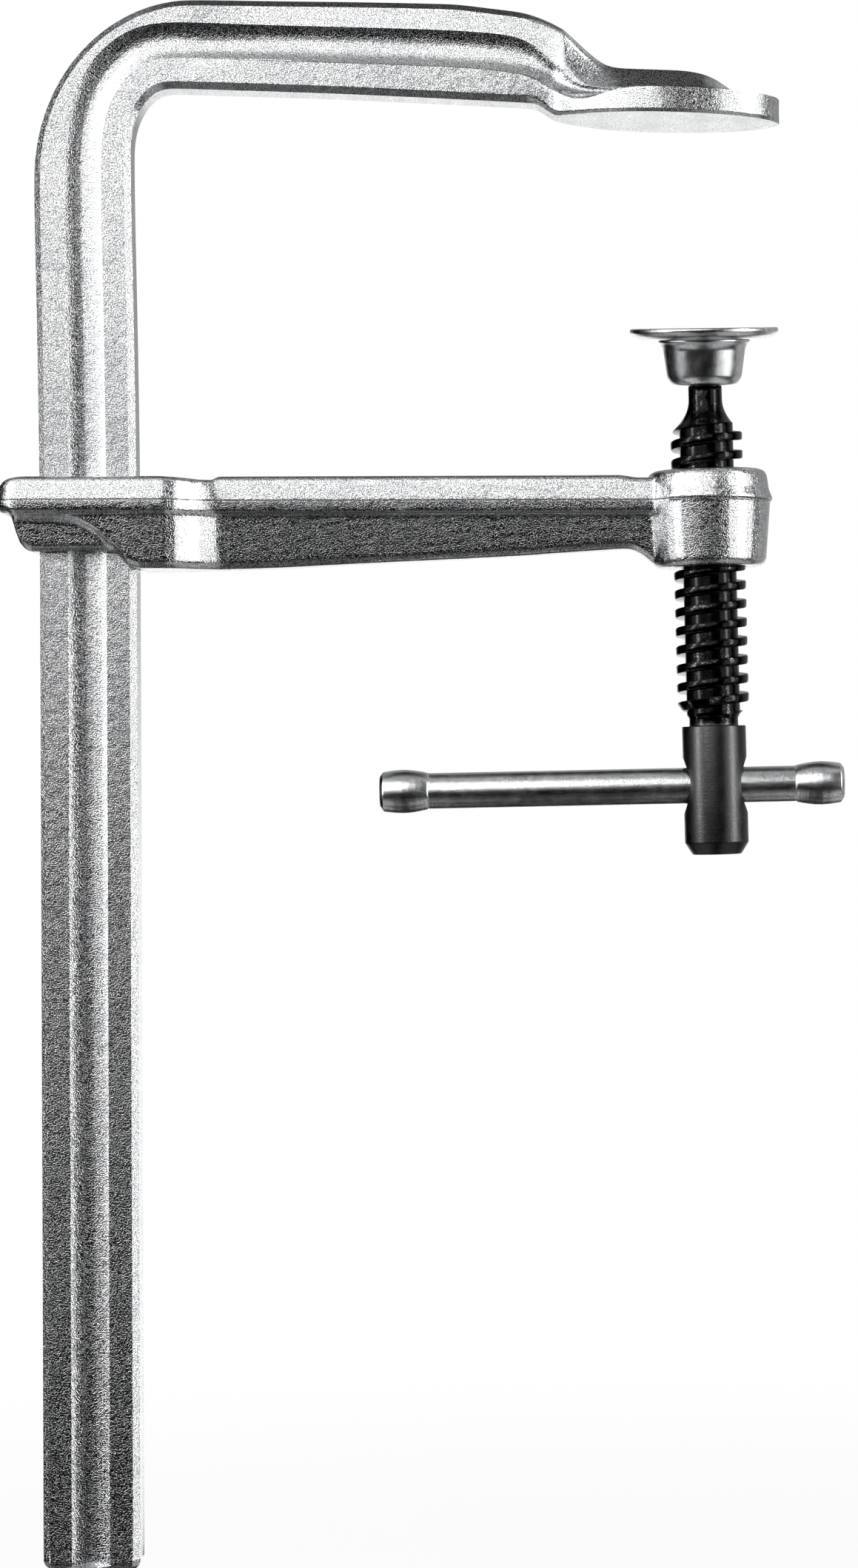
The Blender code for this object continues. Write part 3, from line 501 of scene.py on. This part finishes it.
def black_oxide(name):
    """Oiled black steel: glossy on the thread, and satin with fine turning marks on the hub."""
    look = Look(bpy.data.materials.new(name))
    point = look.point()
    height = look.axes(point)[2]
    on_hub = height.ramp(-HUB_TOP + THREAD_FADE / 2, -HUB_TOP)
    grain = look.noise(point, OXIDE_GRAIN_SIZE)
    turning = look.noise(point, TURNING_SIZE, stretch=TURNING_STRETCH)
    blotch = look.noise(point, OXIDE_BLOTCH_SIZE, detail=3.0, roughness=0.6)
    raised = grain * (0.5 + on_hub * 0.5) + turning * on_hub * 0.5
    normal = look.bump(raised, OXIDE_DEPTH)
    worn = (grain * 0.5 + blotch * 0.5).ramp(*WORN_EDGES)
    black = look.mix(on_hub, grey(*THREAD_BLACK), grey(*HUB_BLACK))
    base = look.mix(worn, black, grey(*WORN_BLACK))
    rough = THREAD_ROUGH + on_hub * HUB_ROUGH
    rough = rough + blotch.ramp(*BLOTCH_EDGES) * OXIDE_BLOTCH_ROUGH
    look.surface(base_color=base, roughness=rough, normal=normal, metallic=1.0)
    return look.owner


def ring_steel(name):
    """Plain spring steel, only seen inside the cup."""
    look = Look(bpy.data.materials.new(name))
    grain = look.noise(look.point(), RING_GRAIN_SIZE)
    base = look.mix(grain, grey(*RING_DARK), grey(*RING_LIGHT))
    rough = RING_ROUGH + grain * RING_GRAIN_ROUGH
    normal = look.bump(grain, RING_GRAIN_DEPTH)
    look.surface(base_color=base, roughness=rough, normal=normal, metallic=1.0)
    return look.owner


def deselect():
    bpy.ops.object.select_all(action="DESELECT")


def select_only(piece):
    deselect()
    piece.select_set(True)
    bpy.context.view_layer.objects.active = piece


def apply_all(piece):
    select_only(piece)
    for modifier in list(piece.modifiers):
        bpy.ops.object.modifier_apply(modifier=modifier.name)


def set_in_place(piece, matrix):
    """Puts a piece that was made about its own axes in its place, with the place in its mesh."""
    select_only(piece)
    piece.matrix_world = matrix
    bpy.ops.object.transform_apply(location=True, rotation=True, scale=True)


def about(axis, centre=(0, 0, 0)):
    """The place of a piece made about Z: turned onto an axis through a centre."""
    return Matrix.Translation(centre) @ UP.rotation_difference(axis).to_matrix().to_4x4()


def soft_shaded(piece, angle=SHARP_ANGLE):
    select_only(piece)
    bpy.ops.object.shade_smooth_by_angle(angle=math.radians(angle))


def finish(piece, surface, body, node):
    """Gives a piece its material and its body, and hides the CAD node that it stands for."""
    piece.data.materials.clear()
    piece.data.materials.append(surface)
    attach(piece, body)
    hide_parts(node)


def copy_of(name, new_name):
    """A copy of a CAD node with its loose triangles merged and joined to quads."""
    piece = bpy.data.objects.new(new_name, frame["nodes"][name].data.copy())
    bpy.context.scene.collection.objects.link(piece)
    piece.data.materials.clear()
    select_only(piece)
    bpy.ops.object.mode_set(mode="EDIT")
    bpy.ops.mesh.select_all(action="SELECT")
    bpy.ops.mesh.remove_doubles(threshold=MERGE)
    bpy.ops.mesh.tris_convert_to_quads(
        face_threshold=math.radians(QUAD_BEND), shape_threshold=math.radians(QUAD_SKEW)
    )
    bpy.ops.object.mode_set(mode="OBJECT")
    bpy.ops.mesh.customdata_custom_splitnormals_clear()
    return piece


def drawn_profile(name, points):
    """An open line in the XZ plane, drawn from one corner by extruding it from point to point."""
    deselect()
    bpy.ops.mesh.primitive_plane_add(size=MERGE)
    piece = bpy.context.object
    piece.name = name
    bpy.ops.object.mode_set(mode="EDIT")
    bpy.ops.mesh.select_all(action="SELECT")
    bpy.ops.mesh.merge(type="CENTER")
    bpy.ops.transform.translate(value=(points[0][0], 0, points[0][1]))
    for before, after in zip(points, points[1:]):
        step = (after[0] - before[0], 0, after[1] - before[1])
        bpy.ops.mesh.extrude_vertices_move(TRANSFORM_OT_translate={"value": step})
    return piece


def turned(name, points, sides=ROUND_SIDES):
    """A piece turned about Z from its profile of radii and heights."""
    piece = drawn_profile(name, points)
    bpy.ops.mesh.select_all(action="SELECT")
    bpy.ops.mesh.spin(steps=sides, angle=math.tau, center=(0, 0, 0), axis=(0, 0, 1))
    bpy.ops.mesh.select_all(action="SELECT")
    bpy.ops.mesh.remove_doubles(threshold=MERGE)
    bpy.ops.mesh.normals_make_consistent(inside=False)
    bpy.ops.object.mode_set(mode="OBJECT")
    return piece


def arc(centre, radius, start, end, steps=ARC_STEPS):
    """Points on an arc in the profile's plane, with angles counted from the downward axis."""
    for n in range(steps + 1):
        angle = start + (end - start) * n / steps
        yield radius * math.sin(angle), centre - radius * math.cos(angle)


def rounded(points, radius, steps=3):
    """An open profile with its inner corners rounded."""
    made = [points[0]]
    for before, corner, after in zip(points, points[1:], points[2:]):
        here = Vector(corner)
        back = Vector(before) - here
        on = Vector(after) - here
        reach = min(radius, back.length * 0.4, on.length * 0.4)
        start = here + back.normalized() * reach
        end = here + on.normalized() * reach
        for n in range(steps + 1):
            part = n / steps
            made.append(tuple(start.lerp(here, part).lerp(here.lerp(end, part), part)))
    made.append(points[-1])
    return made


def weigh_edges(piece):
    """Gives each sharp edge of the rail its share of the rounding, and most along its back."""
    sides = {}
    for face in piece.data.polygons:
        for key in face.edge_keys:
            sides.setdefault(key, []).append(face.normal)
    shares = piece.data.attributes.new("bevel_weight_edge", "FLOAT", "EDGE").data
    for edge in piece.data.edges:
        normals = sides[edge.key]
        if len(normals) != 2:
            continue
        angle = math.degrees(normals[0].angle(normals[1], 0))
        on_jaw = max(piece.data.vertices[index].co.x for index in edge.vertices) > JAW_START
        on_back = min(normal.x for normal in normals) < BACK_FACING
        for limit, share in JAW_EDGES if on_jaw else RAIL_EDGES:
            if angle > limit:
                shares[edge.index].value = 1 if on_back else share
                break


def softened(piece, width, levels):
    """Rounds a copy's edges by their shares of a width, and makes its curved surfaces smooth."""
    bevel = piece.modifiers.new("edges", "BEVEL")
    bevel.width = width
    bevel.segments = 2
    bevel.limit_method = "WEIGHT"
    smooth = piece.modifiers.new("smooth", "SUBSURF")
    smooth.levels = levels
    smooth.render_levels = levels
    apply_all(piece)


def ease(piece, centre, reach, iterations):
    """Smooths a piece within a reach along X of a place, more the nearer to it."""
    near = piece.vertex_groups.new(name="near")
    for corner in piece.data.vertices:
        weight = 1 - abs(corner.co.x - centre) / reach
        if weight > 0:
            near.add([corner.index], min(1, 2 * weight), "REPLACE")
    smooth = piece.modifiers.new("eased", "SMOOTH")
    smooth.factor = 0.5
    smooth.iterations = iterations
    smooth.vertex_group = near.name
    apply_all(piece)
    piece.vertex_groups.clear()


def make_rail(surface):
    rail = copy_of("rail", "clamp_rail")
    weigh_edges(rail)
    softened(rail, EDGE_WIDTH, RAIL_LEVELS)
    ease(rail, STEP_PLACE, STEP_REACH, STEP_SMOOTHING)
    soft_shaded(rail, RAIL_SHARP_ANGLE)
    finish(rail, surface, "rail", "rail")


def make_arm(surface):
    """The sliding arm, remeshed and smoothed, with the flash pushed out of its boss."""
    arm = copy_of("sliding_arm", "clamp_arm")
    remesh = arm.modifiers.new("forged", "REMESH")
    remesh.mode = "VOXEL"
    remesh.voxel_size = ARM_VOXEL
    smooth = arm.modifiers.new("smooth", "SMOOTH")
    smooth.factor = 0.5
    smooth.iterations = ARM_SMOOTHING
    apply_all(arm)
    for corner in arm.data.vertices:
        off = corner.co - screw_axis * corner.co.dot(screw_axis)
        if off.length > BOSS_RADIUS - 2 * ARM_VOXEL and corner.co.x > -BOSS_RADIUS / 2:
            above = (corner.co.z - FLASH_PEAK) / (FLASH_TOP - FLASH_PEAK)
            below = (FLASH_PEAK - corner.co.z) / (FLASH_PEAK - FLASH_FOOT)
            proud = max(0, 1 - max(above, below))
            corner.co += off.normalized() * FLASH_PROUD * proud
    soft_shaded(arm, ARM_SHARP_ANGLE)
    finish(arm, surface, "arm", "sliding_arm")


def thread_strip():
    """The thread's surface between its two ends: one pitch of its profile, turned and raised."""
    points = (
        (CORE_RADIUS, -THREAD_PITCH / 2),
        (CORE_RADIUS, -BASE_WIDTH / 2),
        (CREST_RADIUS - CREST_EDGE, -CREST_WIDTH / 2 - CREST_EDGE / 3),
        (CREST_RADIUS, -CREST_WIDTH / 2 + CREST_EDGE),
        (CREST_RADIUS, CREST_WIDTH / 2 - CREST_EDGE),
        (CREST_RADIUS - CREST_EDGE, CREST_WIDTH / 2 + CREST_EDGE / 3),
        (CORE_RADIUS, BASE_WIDTH / 2),
        (CORE_RADIUS, THREAD_PITCH / 2),
    )
    lowest = math.floor((CREST_PLACE - THREAD_BOTTOM) / THREAD_PITCH) - 1
    highest = math.ceil((CREST_PLACE - THREAD_TOP) / THREAD_PITCH) + 1
    strip = drawn_profile("thread", points)
    bpy.ops.object.mode_set(mode="OBJECT")
    helix = strip.modifiers.new("helix", "SCREW")
    helix.axis = "Z"
    helix.angle = math.tau
    helix.screw_offset = THREAD_PITCH
    helix.iterations = highest - lowest
    helix.steps = THREAD_SIDES
    helix.render_steps = THREAD_SIDES
    helix.use_merge_vertices = True
    helix.merge_threshold = MERGE
    apply_all(strip)
    bpy.ops.object.mode_set(mode="EDIT")
    bpy.ops.mesh.select_all(action="SELECT")
    bpy.ops.transform.translate(value=(0, 0, -CREST_PLACE + lowest * THREAD_PITCH))
    bpy.ops.mesh.remove_doubles(threshold=MERGE)
    bpy.ops.object.mode_set(mode="OBJECT")
    # The turns past the thread's ends are flattened onto them, and the ends fade into the core
    for corner in strip.data.vertices:
        height = min(max(corner.co.z, -THREAD_BOTTOM), -THREAD_TOP)
        radius = math.hypot(corner.co.x, corner.co.y)
        from_bottom = (height + THREAD_BOTTOM) / THREAD_FADE
        from_top = (-THREAD_TOP - height) / THREAD_FADE
        grown = min(1, from_bottom, from_top)
        share = (CORE_RADIUS + (radius - CORE_RADIUS) * grown) / radius
        corner.co = (corner.co.x * share, corner.co.y * share, height)
    return strip


def cross_hole():
    """The cross hole with its two countersinks, lying across the spindle."""
    reach = HUB_RADIUS + SINK_DEPTH
    spread = (SINK_RADIUS - HOLE_RADIUS) / SINK_DEPTH
    wide = HOLE_RADIUS + spread * 2 * SINK_DEPTH
    start = HUB_RADIUS - SINK_DEPTH
    points = (
        (0, reach),
        (wide, reach),
        (HOLE_RADIUS, start),
        (HOLE_RADIUS, -start),
        (wide, -reach),
        (0, -reach),
    )
    hole = turned("cross_hole", points, ROUND_SIDES // 2)
    lying = Matrix.Translation((0, 0, -BAR_PLACE)) @ Matrix.Rotation(math.pi / 2, 4, "Y")
    set_in_place(hole, lying)
    return hole


def make_spindle(surface):
    """The spindle: its ball end, thread and hub joined to one piece, with the cross hole cut."""
    ball_end = math.asin(NECK_TOP_RADIUS / BALL_RADIUS)
    upper = list(arc(-BALL_PLACE, BALL_RADIUS, math.pi, ball_end, 2 * ARC_STEPS))
    upper[0] = (0, upper[0][1])
    upper.append((NECK_RADIUS, -NECK_PLACE))
    for n in range(ARC_STEPS + 1):
        part = n / ARC_STEPS
        height = -FLARE_PLACE + (FLARE_PLACE - FLARE_END) * part
        upper.append((NECK_RADIUS + (FLARE_RADIUS - NECK_RADIUS) * part * part, height))
    upper.append((CORE_RADIUS, -THREAD_TOP))
    lower = (
        (CORE_RADIUS, -THREAD_BOTTOM),
        (RELIEF_RADIUS, -THREAD_BOTTOM - CREST_WIDTH / 2),
        (RELIEF_RADIUS, -HUB_TOP),
        (HUB_RADIUS, -HUB_TOP),
        (HUB_RADIUS, -HUB_BOTTOM + HUB_CHAMFER_RISE),
        (HUB_RADIUS - HUB_CHAMFER, -HUB_BOTTOM),
        (0, -HUB_BOTTOM),
    )
    spindle = thread_strip()
    top = turned("spindle_top", upper, THREAD_SIDES)
    hub = turned("spindle_hub", rounded(lower, HUB_EDGE), THREAD_SIDES)
    deselect()
    for piece in (spindle, top, hub):
        piece.select_set(True)
    bpy.context.view_layer.objects.active = spindle
    bpy.ops.object.join()
    spindle.name = "clamp_spindle"
    bpy.ops.object.mode_set(mode="EDIT")
    bpy.ops.mesh.select_all(action="SELECT")
    bpy.ops.mesh.remove_doubles(threshold=MERGE)
    bpy.ops.mesh.dissolve_degenerate(threshold=MERGE)
    bpy.ops.mesh.normals_make_consistent(inside=False)
    bpy.ops.object.mode_set(mode="OBJECT")
    hole = cross_hole()
    cut = spindle.modifiers.new("cross_hole", "BOOLEAN")
    cut.operation = "DIFFERENCE"
    cut.solver = "EXACT"
    cut.object = hole
    apply_all(spindle)
    bpy.data.objects.remove(hole)
    soft_shaded(spindle, SPINDLE_SHARP_ANGLE)
    set_in_place(spindle, about(screw_axis))
    finish(spindle, surface, "screw", "spindle")


def make_bar(surface):
    """The cross bar with the spigots at its ends, and the two caps on them."""
    points = (
        (0, BAR_LEFT - SPIGOT_LENGTH),
        (SPIGOT_RADIUS, BAR_LEFT - SPIGOT_LENGTH),
        (SPIGOT_RADIUS, BAR_LEFT),
        (BAR_RADIUS, BAR_LEFT),
        (BAR_RADIUS, BAR_RIGHT),
        (SPIGOT_RADIUS, BAR_RIGHT),
        (SPIGOT_RADIUS, BAR_RIGHT + SPIGOT_LENGTH),
        (0, BAR_RIGHT + SPIGOT_LENGTH),
    )
    bar = turned("cross_bar", rounded(points, BAR_EDGE))
    soft_shaded(bar)
    centre = -BAR_PLACE * screw_axis
    set_in_place(bar, about(bar_axis, centre))
    finish(bar, surface, "cross_bar", "tommy_bar")

    bore = SPIGOT_RADIUS + CAP_CLEARANCE
    bulge = CAP_RADIUS - CAP_MOUTH_RADIUS
    outline = [(0, SPIGOT_LENGTH), (bore, SPIGOT_LENGTH), (bore, 0)]
    for place, share in CAP_SHARES:
        outline.append((CAP_MOUTH_RADIUS + bulge * share, CAP_LENGTH * place))
    last = outline[-1][0]
    break_radius = last - CAP_END_CHAMFER * CAP_BREAK_SHARE
    outline.append((break_radius, CAP_LENGTH * CAP_BREAK_PLACE))
    outline.append((last - CAP_END_CHAMFER, CAP_LENGTH))
    outline.append((0, CAP_LENGTH))
    for side, way, mouth in (("left", -1, BAR_LEFT), ("right", 1, BAR_RIGHT)):
        cap = turned("end_cap_" + side + "_fine", rounded(outline, BAR_EDGE))
        soft_shaded(cap)
        set_in_place(cap, about(bar_axis * way, centre + bar_axis * mouth))
        finish(cap, surface, "cross_bar", "end_cap_" + side)


def make_disc(surface, under):
    """The disc, whose flat underside lies at a height, with the socket's top for the ball."""
    hollow = BALL_RADIUS + PLATE_GAP
    socket_foot = under - SOCKET_DROP
    softer = DISC_ROUND / 4
    points = [
        (0, FACE_RISE),
        (DISC_RADIUS - softer / 3, FACE_RISE),
        (DISC_RADIUS, FACE_RISE - softer / 3),
        (DISC_RADIUS, FACE_RISE - DISC_EDGE),
        (DISC_RADIUS - softer, under + softer),
        (DISC_RADIUS - DISC_ROUND * 2 / 3, under + softer / 4),
        (DISC_RADIUS - DISC_ROUND, under),
        (hollow + SOCKET_WALL, under),
        (hollow + SOCKET_WALL, socket_foot),
    ]
    edge = math.pi - math.acos(socket_foot / hollow)
    points += list(arc(0, hollow, edge, math.pi))[:-1]
    points.append((0, hollow))
    disc = turned("plate_disc", rounded(points, DISC_CORNERS))
    soft_shaded(disc)
    set_in_place(disc, about(plate_axis, ball_centre))
    finish(disc, surface, "plate", "pressure_disc")


def make_cup(surface, top):
    """The cup, with its flange's upper side at a height and its lip turned in under the ball."""
    lip_angle = math.asin(CUP_MOUTH_RADIUS / CUP_INNER_RADIUS)
    corner = CUP_BOTTOM_DROP - CUP_FOOT_DROP
    points = [
        (CUP_INNER_RADIUS, top),
        (CUP_FLANGE_RADIUS, top),
        (CUP_FLANGE_RADIUS, top - CUP_FLANGE),
        (CUP_TOP_RADIUS + CUP_FLANGE, top - CUP_FLANGE * 2),
        (CUP_TOP_RADIUS, top - CUP_FLANGE * 4),
        (CUP_FOOT_RADIUS, -CUP_FOOT_DROP),
        (CUP_FOOT_RADIUS - corner / 4, -CUP_BOTTOM_DROP + corner / 2),
        ((CUP_LIP_RADIUS + CUP_FOOT_RADIUS) / 2, -CUP_BOTTOM_DROP + corner / 8),
        (CUP_LIP_RADIUS, -CUP_BOTTOM_DROP),
        (CUP_MOUTH_RADIUS, -CUP_BOTTOM_DROP),
    ]
    points += list(arc(0, CUP_INNER_RADIUS, lip_angle, math.pi / 2))
    cup = turned("plate_cup", rounded(points, CUP_CORNERS))
    soft_shaded(cup)
    set_in_place(cup, about(plate_axis, ball_centre))
    finish(cup, surface, "plate", "ball_cup")


def add_camera():
    """The photograph's camera: square to the clamp but for a slight roll, with a small shift."""
    camera = bpy.data.objects.new("camera", bpy.data.cameras.new("camera"))
    bpy.context.scene.collection.objects.link(camera)
    camera.data.sensor_width = SENSOR_WIDTH
    camera.data.sensor_fit = "AUTO"
    camera.data.lens = FOCAL_LENGTH * SENSOR_WIDTH / PHOTO_HEIGHT
    camera.data.shift_x = (PHOTO_MIDDLE[0] - AXIS_PIXEL[0]) / PHOTO_HEIGHT
    camera.data.shift_y = (AXIS_PIXEL[1] - PHOTO_MIDDLE[1]) / PHOTO_HEIGHT
    camera.data.clip_start = CLIP_START
    upright = Matrix.Rotation(math.pi / 2, 4, "X")
    roll = Matrix.Rotation(CAMERA_ROLL, 4, "Z")
    camera.matrix_world = Matrix.Translation(CAMERA_PLACE) @ upright @ roll
    bpy.context.scene.camera = camera


def add_world():
    """White for what is seen and mirrored, and a plain level for what is lit."""
    world = bpy.data.worlds.new("studio")
    bpy.context.scene.world = world
    look = Look(world)
    rays = ("Is Camera Ray", "Is Glossy Ray", "Is Transmission Ray")
    camera, glossy, through = look.node("ShaderNodeLightPath", {}, {}, rays)
    seen = (camera + glossy + through).clamp()
    look.end("ShaderNodeBackground", "Color", grey(1.0))
    look.end("ShaderNodeBackground", "Strength", WORLD_LEVEL + seen * (1 - WORLD_LEVEL))


def add_floor():
    """A pale floor just under the lowest place that the spindle reaches, white far off."""
    arm_drop = joints["arm_slide"]["range_m"][0]
    spindle_drop = joints["spindle_travel"]["range_m"][0]
    lowest = -HUB_BOTTOM + arm_drop + spindle_drop
    deselect()
    bpy.ops.mesh.primitive_plane_add(size=FLOOR_SIZE, location=(0, 0, lowest - FLOOR_GAP))
    floor = bpy.context.object
    floor.name = "floor"
    bpy.ops.object.transform_apply(location=True, rotation=True, scale=True)
    look = Look(bpy.data.materials.new("floor"))
    inputs = {0: look.point()}
    distance = look.node("ShaderNodeVectorMath", {"operation": "LENGTH"}, inputs, "Value")
    look.surface(base_color=grey(FLOOR_GREY), roughness=0.9, specular_ior_level=0.0)
    white = look.node("ShaderNodeEmission", {}, {"Color": grey(1.0), "Strength": 1.0})
    shaded = Wave(look, look.tree.nodes["Principled BSDF"].outputs[0])
    inputs = {0: distance.ramp(*FLOOR_FADE), 1: shaded, 2: white}
    look.end("ShaderNodeOutputMaterial", "Surface", look.node("ShaderNodeMixShader", {}, inputs))
    floor.data.materials.append(look.owner)
    floor.visible_glossy = False


def dome_level(azimuth, elevation):
    """How bright the dome is at an azimuth and an elevation."""

    def light(azimuths, elevations):
        return azimuth.within(*azimuths) * elevation.within(*elevations)

    side = azimuth.absolute()
    # A wide box at the front left: its right edge leans, its lower edge drops towards the left, and
    # at its left end only a dimmer foot remains
    drop = azimuth.ramp(*BOX_DROP_START) * azimuth.ramp(*BOX_DROP_END)
    lean = azimuth - elevation.ramp(*BOX_LEAN_ELEVATIONS) * BOX_LEAN
    box = (elevation + drop * BOX_DROP).ramp(*BOX_LOWER) * lean.ramp(*BOX_RIGHT)
    box = box * azimuth.ramp(*BOX_LEFT) * elevation.ramp(*BOX_UPPER)
    box = box * (elevation.ramp(*BOX_REST_TOP) * BOX_REST).larger(azimuth.ramp(*BOX_REST_END))
    # A dim band under the box, and a tall strip at the right
    band = light(*BAND)
    strip = light(*STRIP)
    level = (box * BOX_LEVEL).larger(strip * STRIP_LEVEL).larger(band * BAND_LEVEL)
    # The hearts of box and strip, which only the black steel shows as highlights
    hearts = light(*HEARTS[0]) + light(*HEARTS[1]) + light(*HEARTS[2])
    # A white back behind the clamp, brightest at its foot, and a dimmer wall to the right of it
    foot = BACK_LEVEL + elevation.ramp(*BACK_FOOT) * BACK_FOOT_LEVEL
    back = side.ramp(*BACK_SIDES) * elevation.within(*BACK_ELEVATIONS) * foot
    level = level + hearts * HEART_LEVEL + light(*WALL) * WALL_LEVEL + back
    # A dim ceiling in front, another at the sides of the back, and a little light from everywhere
    ceiling = elevation.ramp(*CEILING_EDGE) * side.ramp(*CEILING_SIDES) * CEILING_LEVEL
    rear = side.ramp(*REAR_CEILING_START) * side.ramp(*REAR_CEILING_END)
    rear = rear * elevation.within(*REAR_CEILING) * REAR_CEILING_LEVEL
    ground = elevation.ramp(*GROUND_EDGE) * GROUND_LEVEL
    haze = elevation.ramp(*HAZE_EDGE) * side.ramp(*HAZE_SIDES) * HAZE_LEVEL
    level = level + ceiling + rear + ground + DIM_LEVEL + haze
    # The pale floor in front and at the sides, mirrored by surfaces that face down and to a raised
    # camera; right in front only its far part is there
    pale = elevation.ramp(*PALE_TOP) * elevation.ramp(*PALE_BOTTOM) * side.ramp(*PALE_BACK)
    pale = pale * elevation.ramp(*PALE_FRONT_BOTTOM).larger(side.ramp(*PALE_FRONT_END))
    return level + pale * (PALE_LEVEL + side.ramp(*PALE_SIDES) * PALE_SIDE_LEVEL)


def add_dome():
    """The studio that the polished metal mirrors, far round the clamp and seen by nothing else."""
    deselect()
    centre = (cad_box[0] + cad_box[1]) / 2
    bpy.ops.mesh.primitive_uv_sphere_add(
        segments=64, ring_count=32, radius=DOME_RADIUS, location=centre
    )
    dome = bpy.context.object
    dome.name = "studio_dome"
    bpy.ops.object.transform_apply(location=True, rotation=True, scale=True)
    look = Look(bpy.data.materials.new("studio_dome"))
    inputs = {0: look.point(), 1: centre}
    way = look.node("ShaderNodeVectorMath", {"operation": "SUBTRACT"}, inputs)
    x, y, z = look.axes(way)
    elevation = z.math("ARCTAN2", z, (x * x + y * y) ** 0.5) * math.degrees(1)
    azimuth = x.math("ARCTAN2", x, 0 - y) * math.degrees(1)
    inputs = {"Color": grey(1.0), "Strength": dome_level(azimuth, elevation)}
    light = look.node("ShaderNodeEmission", {}, inputs)
    look.end("ShaderNodeOutputMaterial", "Surface", light)
    look.owner.cycles.emission_sampling = "NONE"
    dome.data.materials.append(look.owner)
    dome.visible_camera = False
    dome.visible_diffuse = False
    dome.visible_shadow = False
    dome.visible_transmission = False


def add_lamp(name, place, size, power):
    """A soft lamp for the floor and whatever isn't metal; the metal mirrors the dome instead."""
    lamp = bpy.data.objects.new(name, bpy.data.lights.new(name, "AREA"))
    bpy.context.scene.collection.objects.link(lamp)
    lamp.data.shape = "RECTANGLE"
    lamp.data.size, lamp.data.size_y = size
    lamp.data.energy = power
    lamp.location = place
    lamp.rotation_euler = (Vector(LAMP_AIM) - Vector(place)).to_track_quat("-Z", "Y").to_euler()
    lamp.visible_glossy = False


add_camera()
rail_surface = forged_zinc("rail_zinc")
arm_surface = forged_zinc("arm_zinc", PARTING_HEIGHT)
zinc = satin_zinc("satin_zinc")
make_rail(rail_surface)
make_arm(arm_surface)
make_spindle(black_oxide("black_oxide"))
make_bar(zinc)
disc_underside = FACE_RISE - DISC_THICKNESS
make_disc(zinc, disc_underside)
make_cup(zinc, disc_underside - PLATE_GAP / 6)
ring = frame["nodes"]["retaining_ring"]
ring.data.materials.clear()
ring.data.materials.append(ring_steel("ring_steel"))

add_world()
add_floor()
add_dome()
add_lamp("key", *KEY_LAMP)
add_lamp("overhead", *OVERHEAD_LAMP)
bpy.context.scene.view_settings.view_transform = "Standard"
